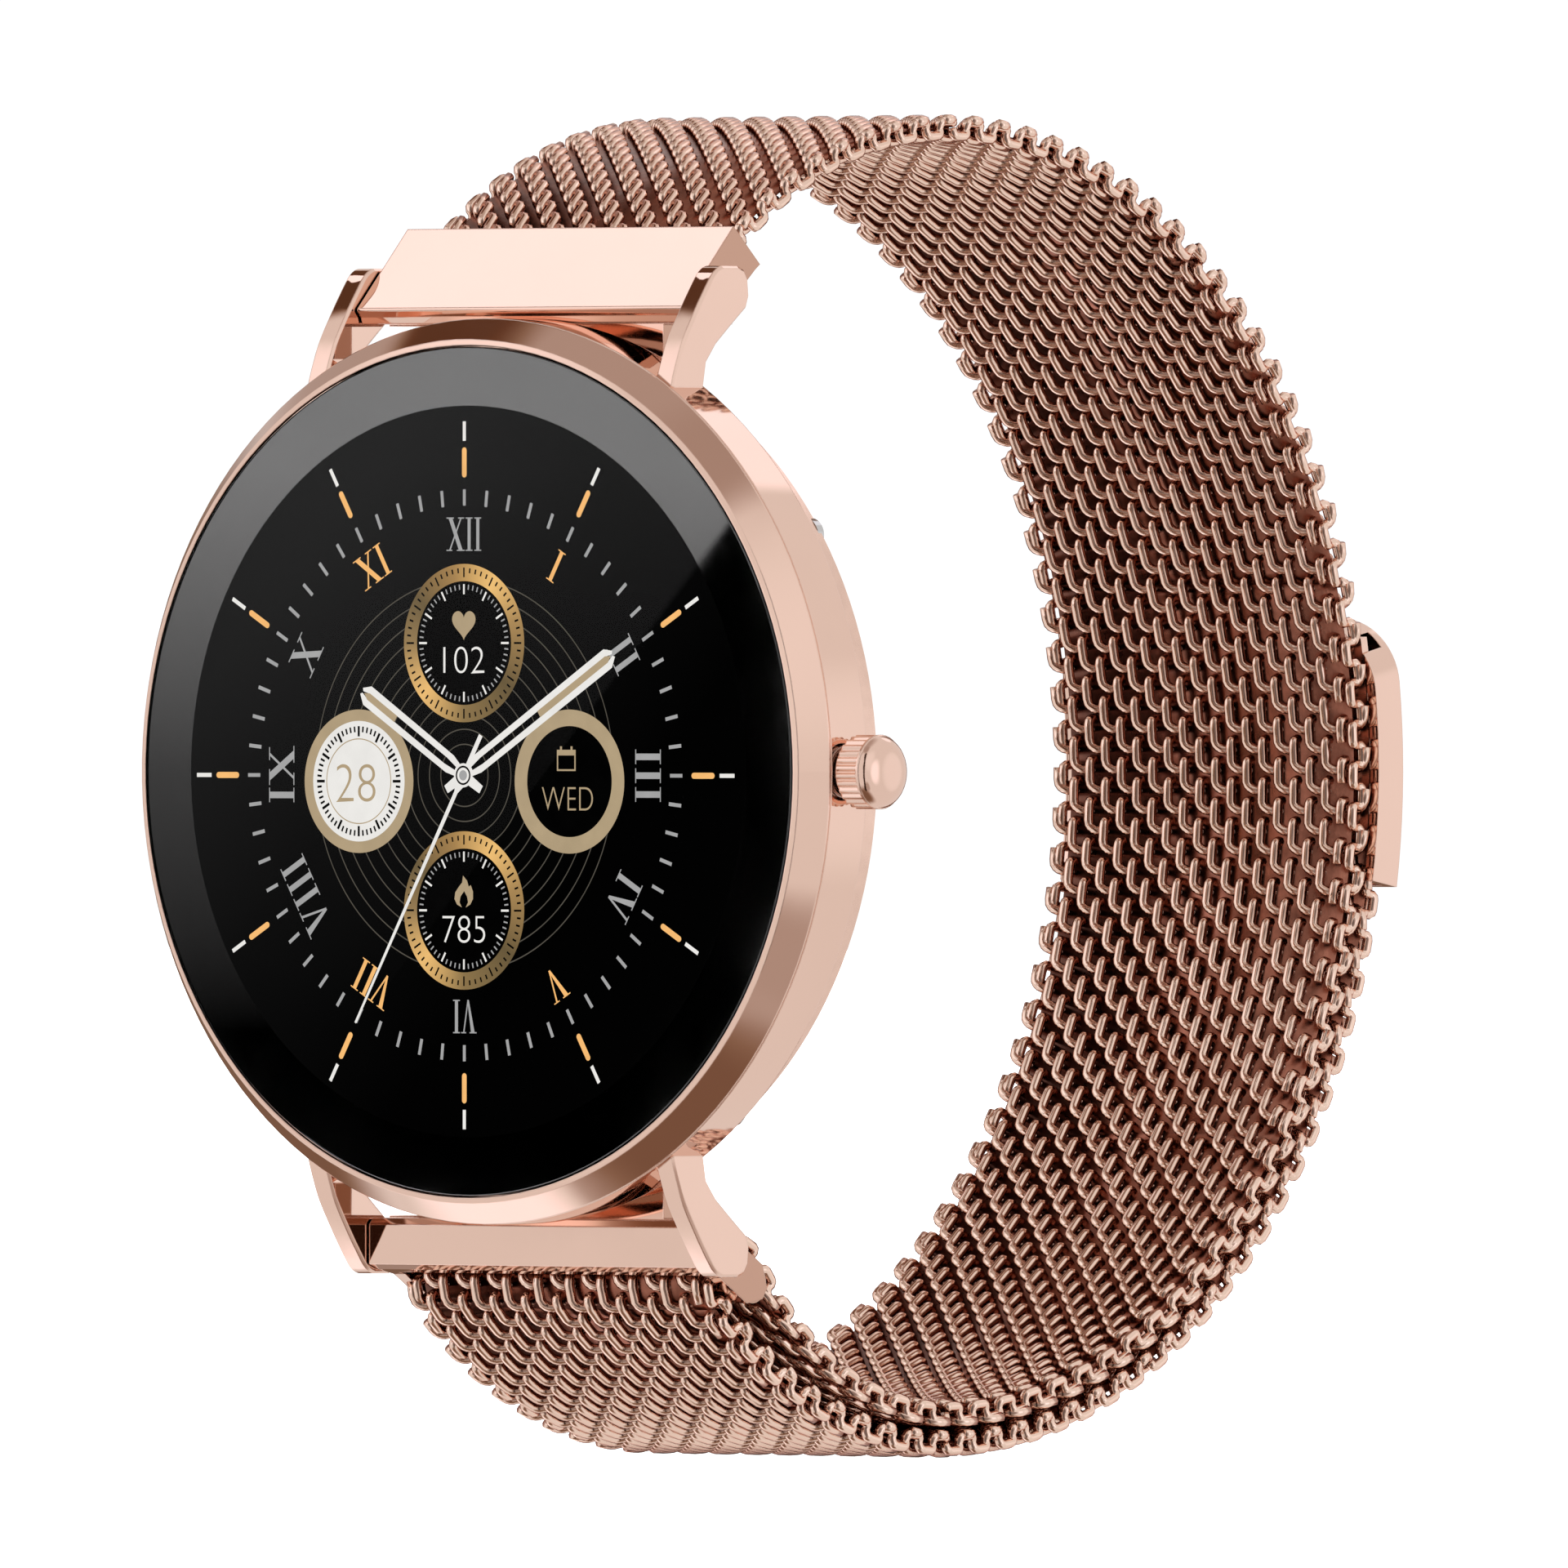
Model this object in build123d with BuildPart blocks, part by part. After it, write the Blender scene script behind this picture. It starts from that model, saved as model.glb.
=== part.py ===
"""Smartwatch with a round case, a rotating push crown and a woven mesh band with a magnetic clasp.

Frame: millimetres, +X to 3 o'clock, +Z to 12 o'clock, -Y out of the display. The origin is the
centre of the sensor window's outer face, which rests on the wrist.
"""

import os
from math import acos, atan2, cos, degrees, hypot, radians, sin, sqrt

from build123d import *

os.makedirs("parts", exist_ok=True)

# ---------------------------------------------------------------- driving dimensions
CASE_RADIUS = 21.0
CASE_DEPTH = 10.4  # front of the glass to the sensor window's face
BEZEL_DEPTH = 1.25
WALL_DEPTH = 3.95  # rear edge of the side wall, behind the glass
GLASS_RADIUS = 19.68
GLASS_THICKNESS = 0.6
DISPLAY_RADIUS = 17.4
PANEL_REAR = 1.8  # rear of the display panel, behind the front of the glass
BACK_RADIUS = 19.8
SCREW_CIRCLE = 19.05

LUG_INNER = 10.05  # half of the gap between a pair of lugs
LUG_THICKNESS = 1.15
LUG_BEVEL = 0.12
BAR_DEPTH = 5.6  # spring-bar axis behind the glass
BAR_HEIGHT = 21.7  # spring-bar axis above and below the case's axis
BAR_RADIUS = 0.6
BAR_HALF = 9.3
TIP_RADIUS = 0.37
END_PIECE_HALF = 9.95  # half width of the upper link and of the buckle
END_PIECE_BORE = 0.65
TONGUE_END = 19.2  # the upper link's and the buckle's tongues reach in to here beside the case back
TONGUE_HALF = 6.8
TONGUE_RADIUS = 20.15  # and are hollowed round the case's axis to this radius

CROWN_DEPTH = 2.7
CROWN_RADIUS = 1.72
CROWN_TIP = 23.5  # end of the crown from the case's axis
FLUTES = 28
STEM_RADIUS = 0.45

MESH_HALF = 9.0
MESH_THICKNESS = 1.3
BAND_DEPTH = 24.25  # centre of the band's round back, behind the glass
BAND_RADIUS = 29.95  # middle of the inner layer
LAYER_GAP = 0.12
UPPER_RADIUS = 25.0  # middle of the mesh from the top to the upper link
SPLIT_ANGLE = 17.0  # where the upper and the lower mesh meet, above the horizontal
FOLD_REACH = 3.8  # buckle's folding rod from its spring bar
FOLD_ROD_RADIUS = 0.95
BUCKLE_SLOPE = 31.7  # buckle's fall behind the case, in degrees
TAB_BOTTOM = -9.8
TAB_TOP = 12.7
TAB_HALF = 9.6
TAIL_PIECES = 5


def behind_glass(depth):
    """Y of a point that lies this deep behind the front of the glass."""
    return round(depth - CASE_DEPTH, 6)


def section(*points):
    """Points given as (depth behind the glass, height), as Y and Z."""
    return [(behind_glass(depth), height) for depth, height in points]


def finish(piece, name):
    piece.part.label = name
    export_step(piece.part, f"parts/{name}.step")


def turned(*points):
    """Closed profile of (radius, depth behind the glass), revolved about the case's axis."""
    with BuildPart() as piece:
        with BuildSketch(Plane.XY):
            with BuildLine():
                Polyline(*[(radius, behind_glass(depth)) for radius, depth in points], close=True)
            make_face()
        revolve(axis=Axis.Y)
    return piece


def on_crown(distance):
    """Plane across the crown's axis, this far from the case's axis, facing outwards."""
    return Plane(origin=(distance, behind_glass(CROWN_DEPTH), 0), x_dir=(0, 1, 0), z_dir=(1, 0, 0))


def across_bar(side, distance):
    """Plane across a spring bar's axis (side is +1 for 12 o'clock, -1 for 6 o'clock)."""
    origin = (distance, behind_glass(BAR_DEPTH), side * BAR_HEIGHT)
    return Plane(origin=origin, x_dir=(0, 1, 0), z_dir=(1, 0, 0))


def beside_tongue(side):
    """Plane across an end piece's tongue, just in front of it, centred beside its root."""
    return Plane(origin=(0, behind_glass(5.9), side * (20.7 - 1.5)), x_dir=(1, 0, 0), z_dir=(0, -1, 0))


# ---------------------------------------------------------------- case
LUG_SIDE = (
    (1.5, 17.0),
    (1.62, 18.0),
    (1.95, 18.95),
    (2.36, 19.9),
    (2.94, 20.85),
    (3.58, 21.8),
    (4.22, 22.68),
    (4.56, 23.08),
    (5.2, 23.4),
)
LUG_REAR = (
    (6.3, 23.4),
    (6.75, 23.22),
    (7.02, 22.8),
    (7.1, 22.0),
    (6.9, 21.45),
    (5.8, 20.6),
    (4.75, 19.75),
    (4.05, 18.9),
    (3.7, 17.0),
)


def lug(side, hand):
    """Lug on one side of the case; hand is +1 for 3 o'clock, -1 for 9 o'clock."""
    front = section(*[(depth, side * height) for depth, height in LUG_SIDE])
    rear = section(*[(depth, side * height) for depth, height in LUG_REAR])
    with BuildPart() as piece:
        with BuildSketch(Plane.YZ.offset(hand * LUG_INNER)):
            with BuildLine():
                curve = Spline(*front)
                Polyline(curve @ 1, *rear, curve @ 0)
            make_face()
        extrude(amount=hand * LUG_THICKNESS)
        for end in (0, -1):
            chamfer(piece.faces().sort_by(Axis.X)[end].edges(), LUG_BEVEL)
    return piece.part


case_profile = (
    (19.78, 0.0),
    (20.02, 0.1),
    (CASE_RADIUS, BEZEL_DEPTH),
    (CASE_RADIUS - 0.08, BEZEL_DEPTH + 0.03),
    (CASE_RADIUS - 0.08, BEZEL_DEPTH + 0.09),
    (CASE_RADIUS, BEZEL_DEPTH + 0.12),
    (CASE_RADIUS, WALL_DEPTH - 0.1),
    (CASE_RADIUS - 0.1, WALL_DEPTH),
    (20.1, WALL_DEPTH),
    (BACK_RADIUS, WALL_DEPTH + 0.2),
    (BACK_RADIUS, 5.2),
    (18.3, 5.2),
    (18.3, 2.3),
    (17.9, 2.3),
    (17.9, GLASS_THICKNESS + 0.15),
    (GLASS_RADIUS + 0.06, GLASS_THICKNESS + 0.15),
    (GLASS_RADIUS + 0.06, 0.04),
)

lugs = [lug(side, hand) for side in (1, -1) for hand in (1, -1)]
with BuildPart() as case_middle:
    with BuildSketch(Plane.XY):
        with BuildLine():
            Polyline(*[(radius, behind_glass(depth)) for radius, depth in case_profile], close=True)
        make_face()
    revolve(axis=Axis.Y)
    add(lugs)
    for side in (1, -1):
        for hand in (1, -1):
            with BuildSketch(across_bar(side, hand * (LUG_INNER - 0.01))):
                Circle(TIP_RADIUS + 0.06)
            extrude(amount=hand * 0.9, mode=Mode.SUBTRACT)
    with BuildSketch(on_crown(17.0)):
        Circle(0.95)
    extrude(amount=5.0, mode=Mode.SUBTRACT)
    with BuildSketch(Plane.XZ.offset(CASE_DEPTH - 5.2)):
        with PolarLocations(SCREW_CIRCLE, 4, start_angle=35):
            Circle(0.5)
    extrude(amount=2.2, mode=Mode.SUBTRACT)
finish(case_middle, "case_middle")

glass = turned((0, 0), (19.62, 0), (GLASS_RADIUS, 0.06), (GLASS_RADIUS, GLASS_THICKNESS), (0, GLASS_THICKNESS))
finish(glass, "glass")

glass_seal = turned(
    (18.1, GLASS_THICKNESS),
    (19.4, GLASS_THICKNESS),
    (19.4, GLASS_THICKNESS + 0.15),
    (18.1, GLASS_THICKNESS + 0.15),
)
finish(glass_seal, "glass_seal")

display_panel = turned(
    (0, GLASS_THICKNESS),
    (DISPLAY_RADIUS, GLASS_THICKNESS),
    (DISPLAY_RADIUS, PANEL_REAR),
    (0, PANEL_REAR),
)
finish(display_panel, "display_panel")

# ---------------------------------------------------------------- electronics in the case
NOTCH_START = 12.9  # the carrier and the board stop here beside the crown's works
NOTCH_HALF = 2.2


def notched_disc(radius, front_depth, thickness):
    with BuildPart() as piece:
        with BuildSketch(Plane.XZ.offset(CASE_DEPTH - front_depth)):
            Circle(radius)
            with Locations((NOTCH_START + 4, 0)):
                Rectangle(8, 2 * NOTCH_HALF, mode=Mode.SUBTRACT)
            with Locations((0, 14.4)):
                SlotOverall(5.4, 1.6, mode=Mode.SUBTRACT)
        extrude(amount=-thickness)
    return piece


def blocks(depth, thickness, *places):
    """Rectangular blocks (x, z, width, height) that stand behind this depth."""
    with BuildPart() as piece:
        with BuildSketch(Plane.XZ.offset(CASE_DEPTH - depth)):
            for x, z, width, height in places:
                with Locations((x, z)):
                    Rectangle(width, height)
        extrude(amount=-thickness)
    return piece


inner_carrier = notched_disc(18.2, 2.3, 0.55)
finish(inner_carrier, "inner_carrier")

main_board = notched_disc(17.3, 2.9, 0.6)
finish(main_board, "main_board")

display_cable = blocks(PANEL_REAR, 1.1, (0, 14.4, 4.4, 0.5))
finish(display_cable, "display_cable")

board_chips = blocks(3.5, 0.8, (-4, 4, 7, 7), (4, 5, 5, 4), (-5, -6, 4, 3), (3, -5, 6, 4), (9, 0, 2.4, 3))
finish(board_chips, "board_chips")

with BuildPart() as battery:
    with BuildSketch(Plane.XZ.offset(CASE_DEPTH - 4.5)):
        with Locations((2.2, 0)):
            RectangleRounded(19, 17, 1.6)
    extrude(amount=-2.5)
    fillet(battery.faces().sort_by(Axis.Y)[-1].edges(), 0.5)
finish(battery, "battery")

with BuildPart() as vibration_motor:
    with BuildSketch(Plane.XZ.offset(CASE_DEPTH - 4.5)):
        with Locations((-11.6, 0)):
            Circle(3.2)
    extrude(amount=-2.2)
    fillet(vibration_motor.faces().sort_by(Axis.Y)[-1].edges(), 0.3)
finish(vibration_motor, "vibration_motor")

# ---------------------------------------------------------------- case back and sensor
with BuildPart() as case_back:
    with BuildSketch(Plane.XY):
        with BuildLine():
            Polyline(
                *[
                    (radius, behind_glass(depth))
                    for radius, depth in (
                        (17.2, 4.4),
                        (18.2, 4.4),
                        (18.2, 4.6),
                        (17.8, 4.6),
                        (17.8, 5.0),
                        (18.2, 5.0),
                        (18.2, 5.25),
                        (BACK_RADIUS, 5.25),
                        (BACK_RADIUS, 6.0),
                        (BACK_RADIUS - 0.2, 6.2),
                        (18.6, 6.7),
                        (13.6, 9.3),
                        (9.85, 9.6),
                        (9.85, 9.0),
                        (10.65, 9.0),
                        (10.65, 8.6),
                        (12.6, 8.6),
                        (17.2, 6.0),
                    )
                ],
                close=True,
            )
        make_face()
    revolve(axis=Axis.Y)
    with BuildSketch(Plane.XZ.offset(CASE_DEPTH - 6.8)):
        with PolarLocations(SCREW_CIRCLE, 4, start_angle=35):
            Circle(0.85)
    extrude(amount=1.0, mode=Mode.SUBTRACT)
    with BuildSketch(Plane.XZ.offset(CASE_DEPTH - 6.8)):
        with PolarLocations(SCREW_CIRCLE, 4, start_angle=35):
            Circle(0.55)
    extrude(amount=2.0, mode=Mode.SUBTRACT)
finish(case_back, "case_back")

back_gasket = turned((17.8, 4.62), (18.28, 4.62), (18.28, 4.98), (17.8, 4.98))
finish(back_gasket, "back_gasket")

with BuildPart() as back_screws:
    with BuildSketch(Plane.XZ.offset(CASE_DEPTH - 6.25)):
        with PolarLocations(SCREW_CIRCLE, 4, start_angle=35):
            Circle(0.8)
    extrude(amount=0.43)
    with BuildSketch(Plane.XZ.offset(CASE_DEPTH - 5.82)):
        with PolarLocations(SCREW_CIRCLE, 4, start_angle=35):
            Circle(0.49)
    extrude(amount=2.6)
    with BuildSketch(Plane.XZ.offset(CASE_DEPTH - 6.25)):
        with PolarLocations(SCREW_CIRCLE, 4, start_angle=35):
            Rectangle(0.9, 0.2)
            Rectangle(0.2, 0.9)
    extrude(amount=0.2, mode=Mode.SUBTRACT)
finish(back_screws, "back_screws")

RING_SEATS = ((6.9, 7.6), (8.3, 9.0))  # inner and outer radius of each charging ring
with BuildPart() as sensor_window:
    with BuildSketch(Plane.XY):
        with BuildLine():
            Polyline(
                *[
                    (radius, behind_glass(depth))
                    for radius, depth in (
                        (0, 9.6),
                        (5.6, 9.6),
                        (5.6, 8.65),
                        (10.6, 8.65),
                        (10.6, 8.98),
                        (9.8, 8.98),
                        (9.8, 9.8),
                        (9.4, 10.1),
                        (6.6, 10.2),
                        (6.3, CASE_DEPTH),
                        (0, CASE_DEPTH),
                    )
                ],
                close=True,
            )
        make_face()
    revolve(axis=Axis.Y)
    for inner, outer in RING_SEATS:
        with BuildSketch(Plane.XZ.offset(CASE_DEPTH - 10.3)):
            Circle(outer)
            Circle(inner, mode=Mode.SUBTRACT)
        extrude(amount=0.7, mode=Mode.SUBTRACT)
finish(sensor_window, "sensor_window")

with BuildPart() as charging_rings:
    for inner, outer in RING_SEATS:
        with BuildSketch(Plane.XZ.offset(CASE_DEPTH - 10.1)):
            Circle(outer)
            Circle(inner, mode=Mode.SUBTRACT)
        extrude(amount=0.5)
finish(charging_rings, "charging_rings")

with BuildPart() as sensor_board:
    with BuildSketch(Plane.XZ.offset(CASE_DEPTH - 8.0)):
        Circle(10.2)
    extrude(amount=-0.6)
finish(sensor_board, "sensor_board")

with BuildPart() as sensor_optics:
    with BuildSketch(Plane.XZ.offset(CASE_DEPTH - 8.6)):
        Rectangle(1.8, 1.8)
        with PolarLocations(3.4, 4, start_angle=45):
            Rectangle(1.6, 1.6)
    extrude(amount=-0.6)
finish(sensor_optics, "sensor_optics")

# ---------------------------------------------------------------- crown
TUBE_START = 17.85
TUBE_END = 22.3
HOLLOW_START = 21.4
HOLLOW_END = 22.75
DRUM_END = 22.8
STEM_START = 15.42


def rod(start, length, radius, hole=0.0):
    with BuildPart() as piece:
        with BuildSketch(on_crown(start)):
            Circle(radius)
            if hole:
                Circle(hole, mode=Mode.SUBTRACT)
        extrude(amount=length)
    return piece


crown_tube = rod(TUBE_START, TUBE_END - TUBE_START, 0.95, hole=0.58)
finish(crown_tube, "crown_tube")

crown_axis = Axis((0, behind_glass(CROWN_DEPTH), 0), (1, 0, 0))
with BuildPart() as crown_cap:
    with BuildSketch(Plane(origin=crown_axis.position)):
        with BuildLine():
            outer = Polyline(
                (HOLLOW_START, 1.4),
                (HOLLOW_START, 1.57),
                (HOLLOW_START + 0.1, 1.6),
                (HOLLOW_START + 0.14, CROWN_RADIUS),
                (DRUM_END, CROWN_RADIUS),
                (DRUM_END + 0.06, CROWN_RADIUS - 0.06),
            )
            dome = Spline(outer @ 1, (CROWN_TIP, 0), tangents=((0.9, -0.35), (0, -1)))
            Polyline(dome @ 1, (HOLLOW_END, 0), (HOLLOW_END, 1.4), outer @ 0)
        make_face()
    revolve(axis=crown_axis)
    with BuildSketch(on_crown(HOLLOW_START - 0.1)):
        with PolarLocations(CROWN_RADIUS + 0.03, FLUTES):
            Rectangle(0.24, 0.24, rotation=45)
    extrude(amount=DRUM_END - HOLLOW_START, mode=Mode.SUBTRACT)
finish(crown_cap, "crown_cap")

with BuildPart() as crown_stem:
    with BuildSketch(on_crown(STEM_START)):
        Circle(STEM_RADIUS)
        with Locations((STEM_RADIUS, 0)):
            Rectangle(0.3, 1, mode=Mode.SUBTRACT)
    extrude(amount=2.0)
    with BuildSketch(on_crown(STEM_START + 2.0)):
        Circle(STEM_RADIUS)
    extrude(amount=HOLLOW_END - STEM_START - 2.0)
    for start, length in ((17.62, 0.18), (19.6, 0.5)):
        with BuildSketch(on_crown(start)):
            Circle(STEM_RADIUS + 0.1)
            Circle(0.33, mode=Mode.SUBTRACT)
        extrude(amount=length, mode=Mode.SUBTRACT)
finish(crown_stem, "crown_stem")

stem_clip = rod(17.62, 0.18, 0.85, hole=0.33)
finish(stem_clip, "stem_clip")

crown_seal = rod(19.62, 0.46, 0.56, hole=0.34)
finish(crown_seal, "crown_seal")

with BuildPart() as crown_spring:
    with BuildLine() as coil:
        Helix(pitch=0.36, height=1.4, radius=1.17, center=(21.22, behind_glass(CROWN_DEPTH), 0), direction=(1, 0, 0))
    with BuildSketch(Plane(origin=coil.line @ 0, z_dir=coil.line % 0)):
        RegularPolygon(0.09, 12)
    sweep(path=coil.line, is_frenet=True)
finish(crown_spring, "crown_spring")

with BuildPart() as encoder_wheel:
    with BuildSketch(on_crown(16.08)):
        Circle(0.8)
        Circle(STEM_RADIUS + 0.03, mode=Mode.SUBTRACT)
        with Locations((0.48, 0)):
            Rectangle(0.3, 0.7)
    extrude(amount=0.84)
    with BuildSketch(on_crown(16.08)):
        with PolarLocations(0.8, 12, start_angle=15):
            Circle(0.07)
    extrude(amount=0.84, mode=Mode.SUBTRACT)
finish(encoder_wheel, "encoder_wheel")

with BuildPart() as encoder_bracket:
    with BuildSketch(on_crown(15.75)):
        Rectangle(1.7, 3.0)
    extrude(amount=1.5)
    with BuildSketch(on_crown(16.0)):
        with Locations((-0.25, 0)):
            Rectangle(2.3, 2.0)
    extrude(amount=1.0, mode=Mode.SUBTRACT)
    with BuildSketch(on_crown(15.7)):
        Circle(STEM_RADIUS + 0.05)
    extrude(amount=1.7, mode=Mode.SUBTRACT)
finish(encoder_bracket, "encoder_bracket")

with BuildPart() as push_switch:
    with BuildSketch(on_crown(13.3)):
        Rectangle(1.7, 3.0)
    extrude(amount=1.5)
    with BuildSketch(on_crown(13.9)):
        Circle(0.5)
    extrude(amount=1.0, mode=Mode.SUBTRACT)
finish(push_switch, "push_switch")

switch_plunger = rod(14.25, 1.15, 0.45)
finish(switch_plunger, "switch_plunger")

# ---------------------------------------------------------------- spring bars
PISTON_START = 7.6
PISTON_END = 8.95
TIP_END = 10.85

for bar_name, side in (("upper_bar", 1), ("lower_bar", -1)):
    with BuildPart() as bar_tube:
        with BuildSketch(across_bar(side, -BAR_HALF)):
            Circle(BAR_RADIUS)
            Circle(TIP_RADIUS + 0.03, mode=Mode.SUBTRACT)
        extrude(amount=2 * BAR_HALF)
        with BuildSketch(across_bar(side, -9.0)):
            Circle(0.47)
        extrude(amount=18.0, mode=Mode.SUBTRACT)
    finish(bar_tube, f"{bar_name}_tube")

    with BuildPart() as bar_spring:
        with BuildLine() as coil:
            Helix(
                pitch=1.0,
                height=15.0,
                radius=0.34,
                center=(-7.5, behind_glass(BAR_DEPTH), side * BAR_HEIGHT),
                direction=(1, 0, 0),
            )
        with BuildSketch(Plane(origin=coil.line @ 0, z_dir=coil.line % 0)):
            RegularPolygon(0.1, 12)
        sweep(path=coil.line, is_frenet=True)
    finish(bar_spring, f"{bar_name}_spring")

    for tip_name, hand in (("left_tip", -1), ("right_tip", 1)):
        with BuildPart() as bar_tip:
            with BuildSketch(across_bar(side, hand * PISTON_START)):
                Circle(0.44)
            extrude(amount=hand * (PISTON_END - PISTON_START))
            with BuildSketch(across_bar(side, hand * PISTON_END)):
                Circle(TIP_RADIUS)
            extrude(amount=hand * (TIP_END - PISTON_END))
            chamfer(bar_tip.faces().sort_by(Axis.X)[-1 if hand > 0 else 0].edges(), 0.12)
        finish(bar_tip, f"{bar_name}_{tip_name}")

# ---------------------------------------------------------------- band path
band_centre = (BAND_DEPTH, 0.0)
upper_centre = (BAND_DEPTH, BAND_RADIUS - UPPER_RADIUS)
tail_radius = BAND_RADIUS + MESH_THICKNESS + LAYER_GAP
fold_radius = FOLD_ROD_RADIUS + 0.1 + MESH_THICKNESS / 2
slope = radians(BUCKLE_SLOPE)
fold_centre = (BAR_DEPTH + FOLD_REACH * cos(slope), -BAR_HEIGHT - FOLD_REACH * sin(slope))
fold_distance = hypot(BAND_DEPTH - fold_centre[0], fold_centre[1])


def shift_for(reach):
    """How far below the band's centre an arc is centred that leaves the lowest point and meets the fold."""
    return (reach**2 - fold_distance**2) / (2 * (reach + fold_centre[1]))


inner_shift = shift_for(BAND_RADIUS + fold_radius)
tail_shift = shift_for(tail_radius - fold_radius)
inner_centre = (BAND_DEPTH, -inner_shift)
inner_radius = BAND_RADIUS - inner_shift
tail_centre = (BAND_DEPTH, -tail_shift)
tail_front_radius = tail_radius - tail_shift


def angle_to(centre, point):
    return degrees(atan2(point[1] - centre[1], point[0] - centre[0])) % 360


inner_end = angle_to(inner_centre, fold_centre)
tail_start = angle_to(tail_centre, fold_centre)


def strip(centre, radius, start, stop, half=MESH_HALF, thickness=MESH_THICKNESS):
    """Length of strap along an arc in the YZ plane. Angles run from +Y towards +Z, in degrees."""
    inner, outer = radius - thickness / 2, radius + thickness / 2
    place = (behind_glass(centre[0]), centre[1])
    with BuildPart() as piece:
        with BuildSketch(Plane.YZ):
            with BuildLine():
                far = CenterArc(place, outer, start, stop - start)
                near = CenterArc(place, inner, start, stop - start)
                Line(far @ 0, near @ 0)
                Line(far @ 1, near @ 1)
            make_face()
        extrude(amount=half, both=True)
    return piece


# ---------------------------------------------------------------- upper link
LINK_OUTLINE = (
    (3.75, 21.45),
    (7.4, 25.25),
    (9.3, 23.5),
    (8.95, 23.25),
    (8.2, 22.6),
    (7.3, 21.6),
    (7.3, TONGUE_END),
    (6.1, TONGUE_END),
    (6.1, 20.8),
    (4.15, 20.8),
    (4.05, 21.12),
)
LINK_ENTRY = 129.46  # where the mesh leaves the link, round the upper arc's centre
LINK_END = 133.86

link_pocket = strip(upper_centre, UPPER_RADIUS, LINK_ENTRY - 4, LINK_END, MESH_HALF + 0.1, MESH_THICKNESS + 0.1)
with BuildPart() as upper_link:
    with BuildSketch(Plane.YZ):
        with BuildLine():
            Polyline(*section(*LINK_OUTLINE), close=True)
        make_face()
    extrude(amount=END_PIECE_HALF, both=True)
    fillet(upper_link.edges().filter_by(Axis.X).group_by(Axis.Y)[0], 0.15)
    add(link_pocket.part, mode=Mode.SUBTRACT)
    with BuildSketch(Plane.XZ.offset(CASE_DEPTH - 4.0)):
        Circle(TONGUE_RADIUS)
    extrude(amount=-4.0, mode=Mode.SUBTRACT)
    with BuildSketch(beside_tongue(1)):
        with GridLocations(END_PIECE_HALF + TONGUE_HALF, 1, 2, 1):
            Rectangle(END_PIECE_HALF - TONGUE_HALF, 3)
    extrude(amount=-2.0, mode=Mode.SUBTRACT)
    with BuildSketch(across_bar(1, -END_PIECE_HALF - 1)):
        Circle(END_PIECE_BORE)
    extrude(amount=2 * END_PIECE_HALF + 2, mode=Mode.SUBTRACT)
finish(upper_link, "upper_link")

# ---------------------------------------------------------------- buckle
SLOT_START = 1.2  # along the buckle from its spring bar
SLOT_END = FOLD_REACH - FOLD_ROD_RADIUS
SIDE_INNER = MESH_HALF + 0.25


def on_buckle(along, above):
    """Point in the buckle's own directions, as (depth, height)."""
    depth = BAR_DEPTH + along * cos(slope) + above * sin(slope)
    height = -BAR_HEIGHT - along * sin(slope) + above * cos(slope)
    return depth, height


buckle_outline = [
    (4.9, -20.8),
    (4.65, -21.1),
    (4.65, -22.95),
    (5.3, -23.2),
    on_buckle(1.6, -1.05),
    on_buckle(3.9, -1.05),
    on_buckle(4.75, -0.3),
    on_buckle(4.75, 0.3),
    on_buckle(3.9, 1.05),
    on_buckle(1.3, 1.05),
    (7.3, -TONGUE_END),
    (6.1, -TONGUE_END),
    (6.1, -20.8),
]
with BuildPart() as buckle:
    with BuildSketch(Plane.YZ):
        with BuildLine():
            Polyline(*section(*buckle_outline), close=True)
        make_face()
    extrude(amount=END_PIECE_HALF, both=True)
    with BuildSketch(Plane.YZ):
        with BuildLine():
            Polyline(
                *section(
                    on_buckle(SLOT_START, -2),
                    on_buckle(SLOT_START, 2),
                    on_buckle(FOLD_REACH + 2, 2),
                    on_buckle(FOLD_REACH + 2, -2),
                ),
                close=True,
            )
        make_face()
    extrude(amount=SIDE_INNER, both=True, mode=Mode.SUBTRACT)
    with BuildSketch(Plane.YZ):
        with Locations(section(fold_centre)[0]):
            Circle(FOLD_ROD_RADIUS)
    extrude(amount=END_PIECE_HALF - 0.05, both=True)
    with BuildSketch(Plane.XZ.offset(CASE_DEPTH - 4.0)):
        Circle(TONGUE_RADIUS)
    extrude(amount=-4.0, mode=Mode.SUBTRACT)
    with BuildSketch(beside_tongue(-1)):
        with GridLocations(END_PIECE_HALF + TONGUE_HALF, 1, 2, 1):
            Rectangle(END_PIECE_HALF - TONGUE_HALF, 3)
    extrude(amount=-2.0, mode=Mode.SUBTRACT)
    with BuildSketch(across_bar(-1, -END_PIECE_HALF - 1)):
        Circle(END_PIECE_BORE)
    extrude(amount=2 * END_PIECE_HALF + 2, mode=Mode.SUBTRACT)
finish(buckle, "buckle")

# ---------------------------------------------------------------- mesh band
mesh_lengths = {
    "mesh_upper_1": (upper_centre, UPPER_RADIUS, 90, LINK_END),
    "mesh_upper_2": (band_centre, BAND_RADIUS, 53, 90),
    "mesh_upper_3": (band_centre, BAND_RADIUS, SPLIT_ANGLE, 53),
    "mesh_lower_1": (band_centre, BAND_RADIUS, -36, SPLIT_ANGLE),
    "mesh_lower_2": (band_centre, BAND_RADIUS, -90, -36),
    "mesh_lower_3": (inner_centre, inner_radius, inner_end - 360, -90),
    "mesh_fold": (fold_centre, fold_radius, inner_end - 180, tail_start),
}
for name, length in mesh_lengths.items():
    finish(strip(*length), name)

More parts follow.
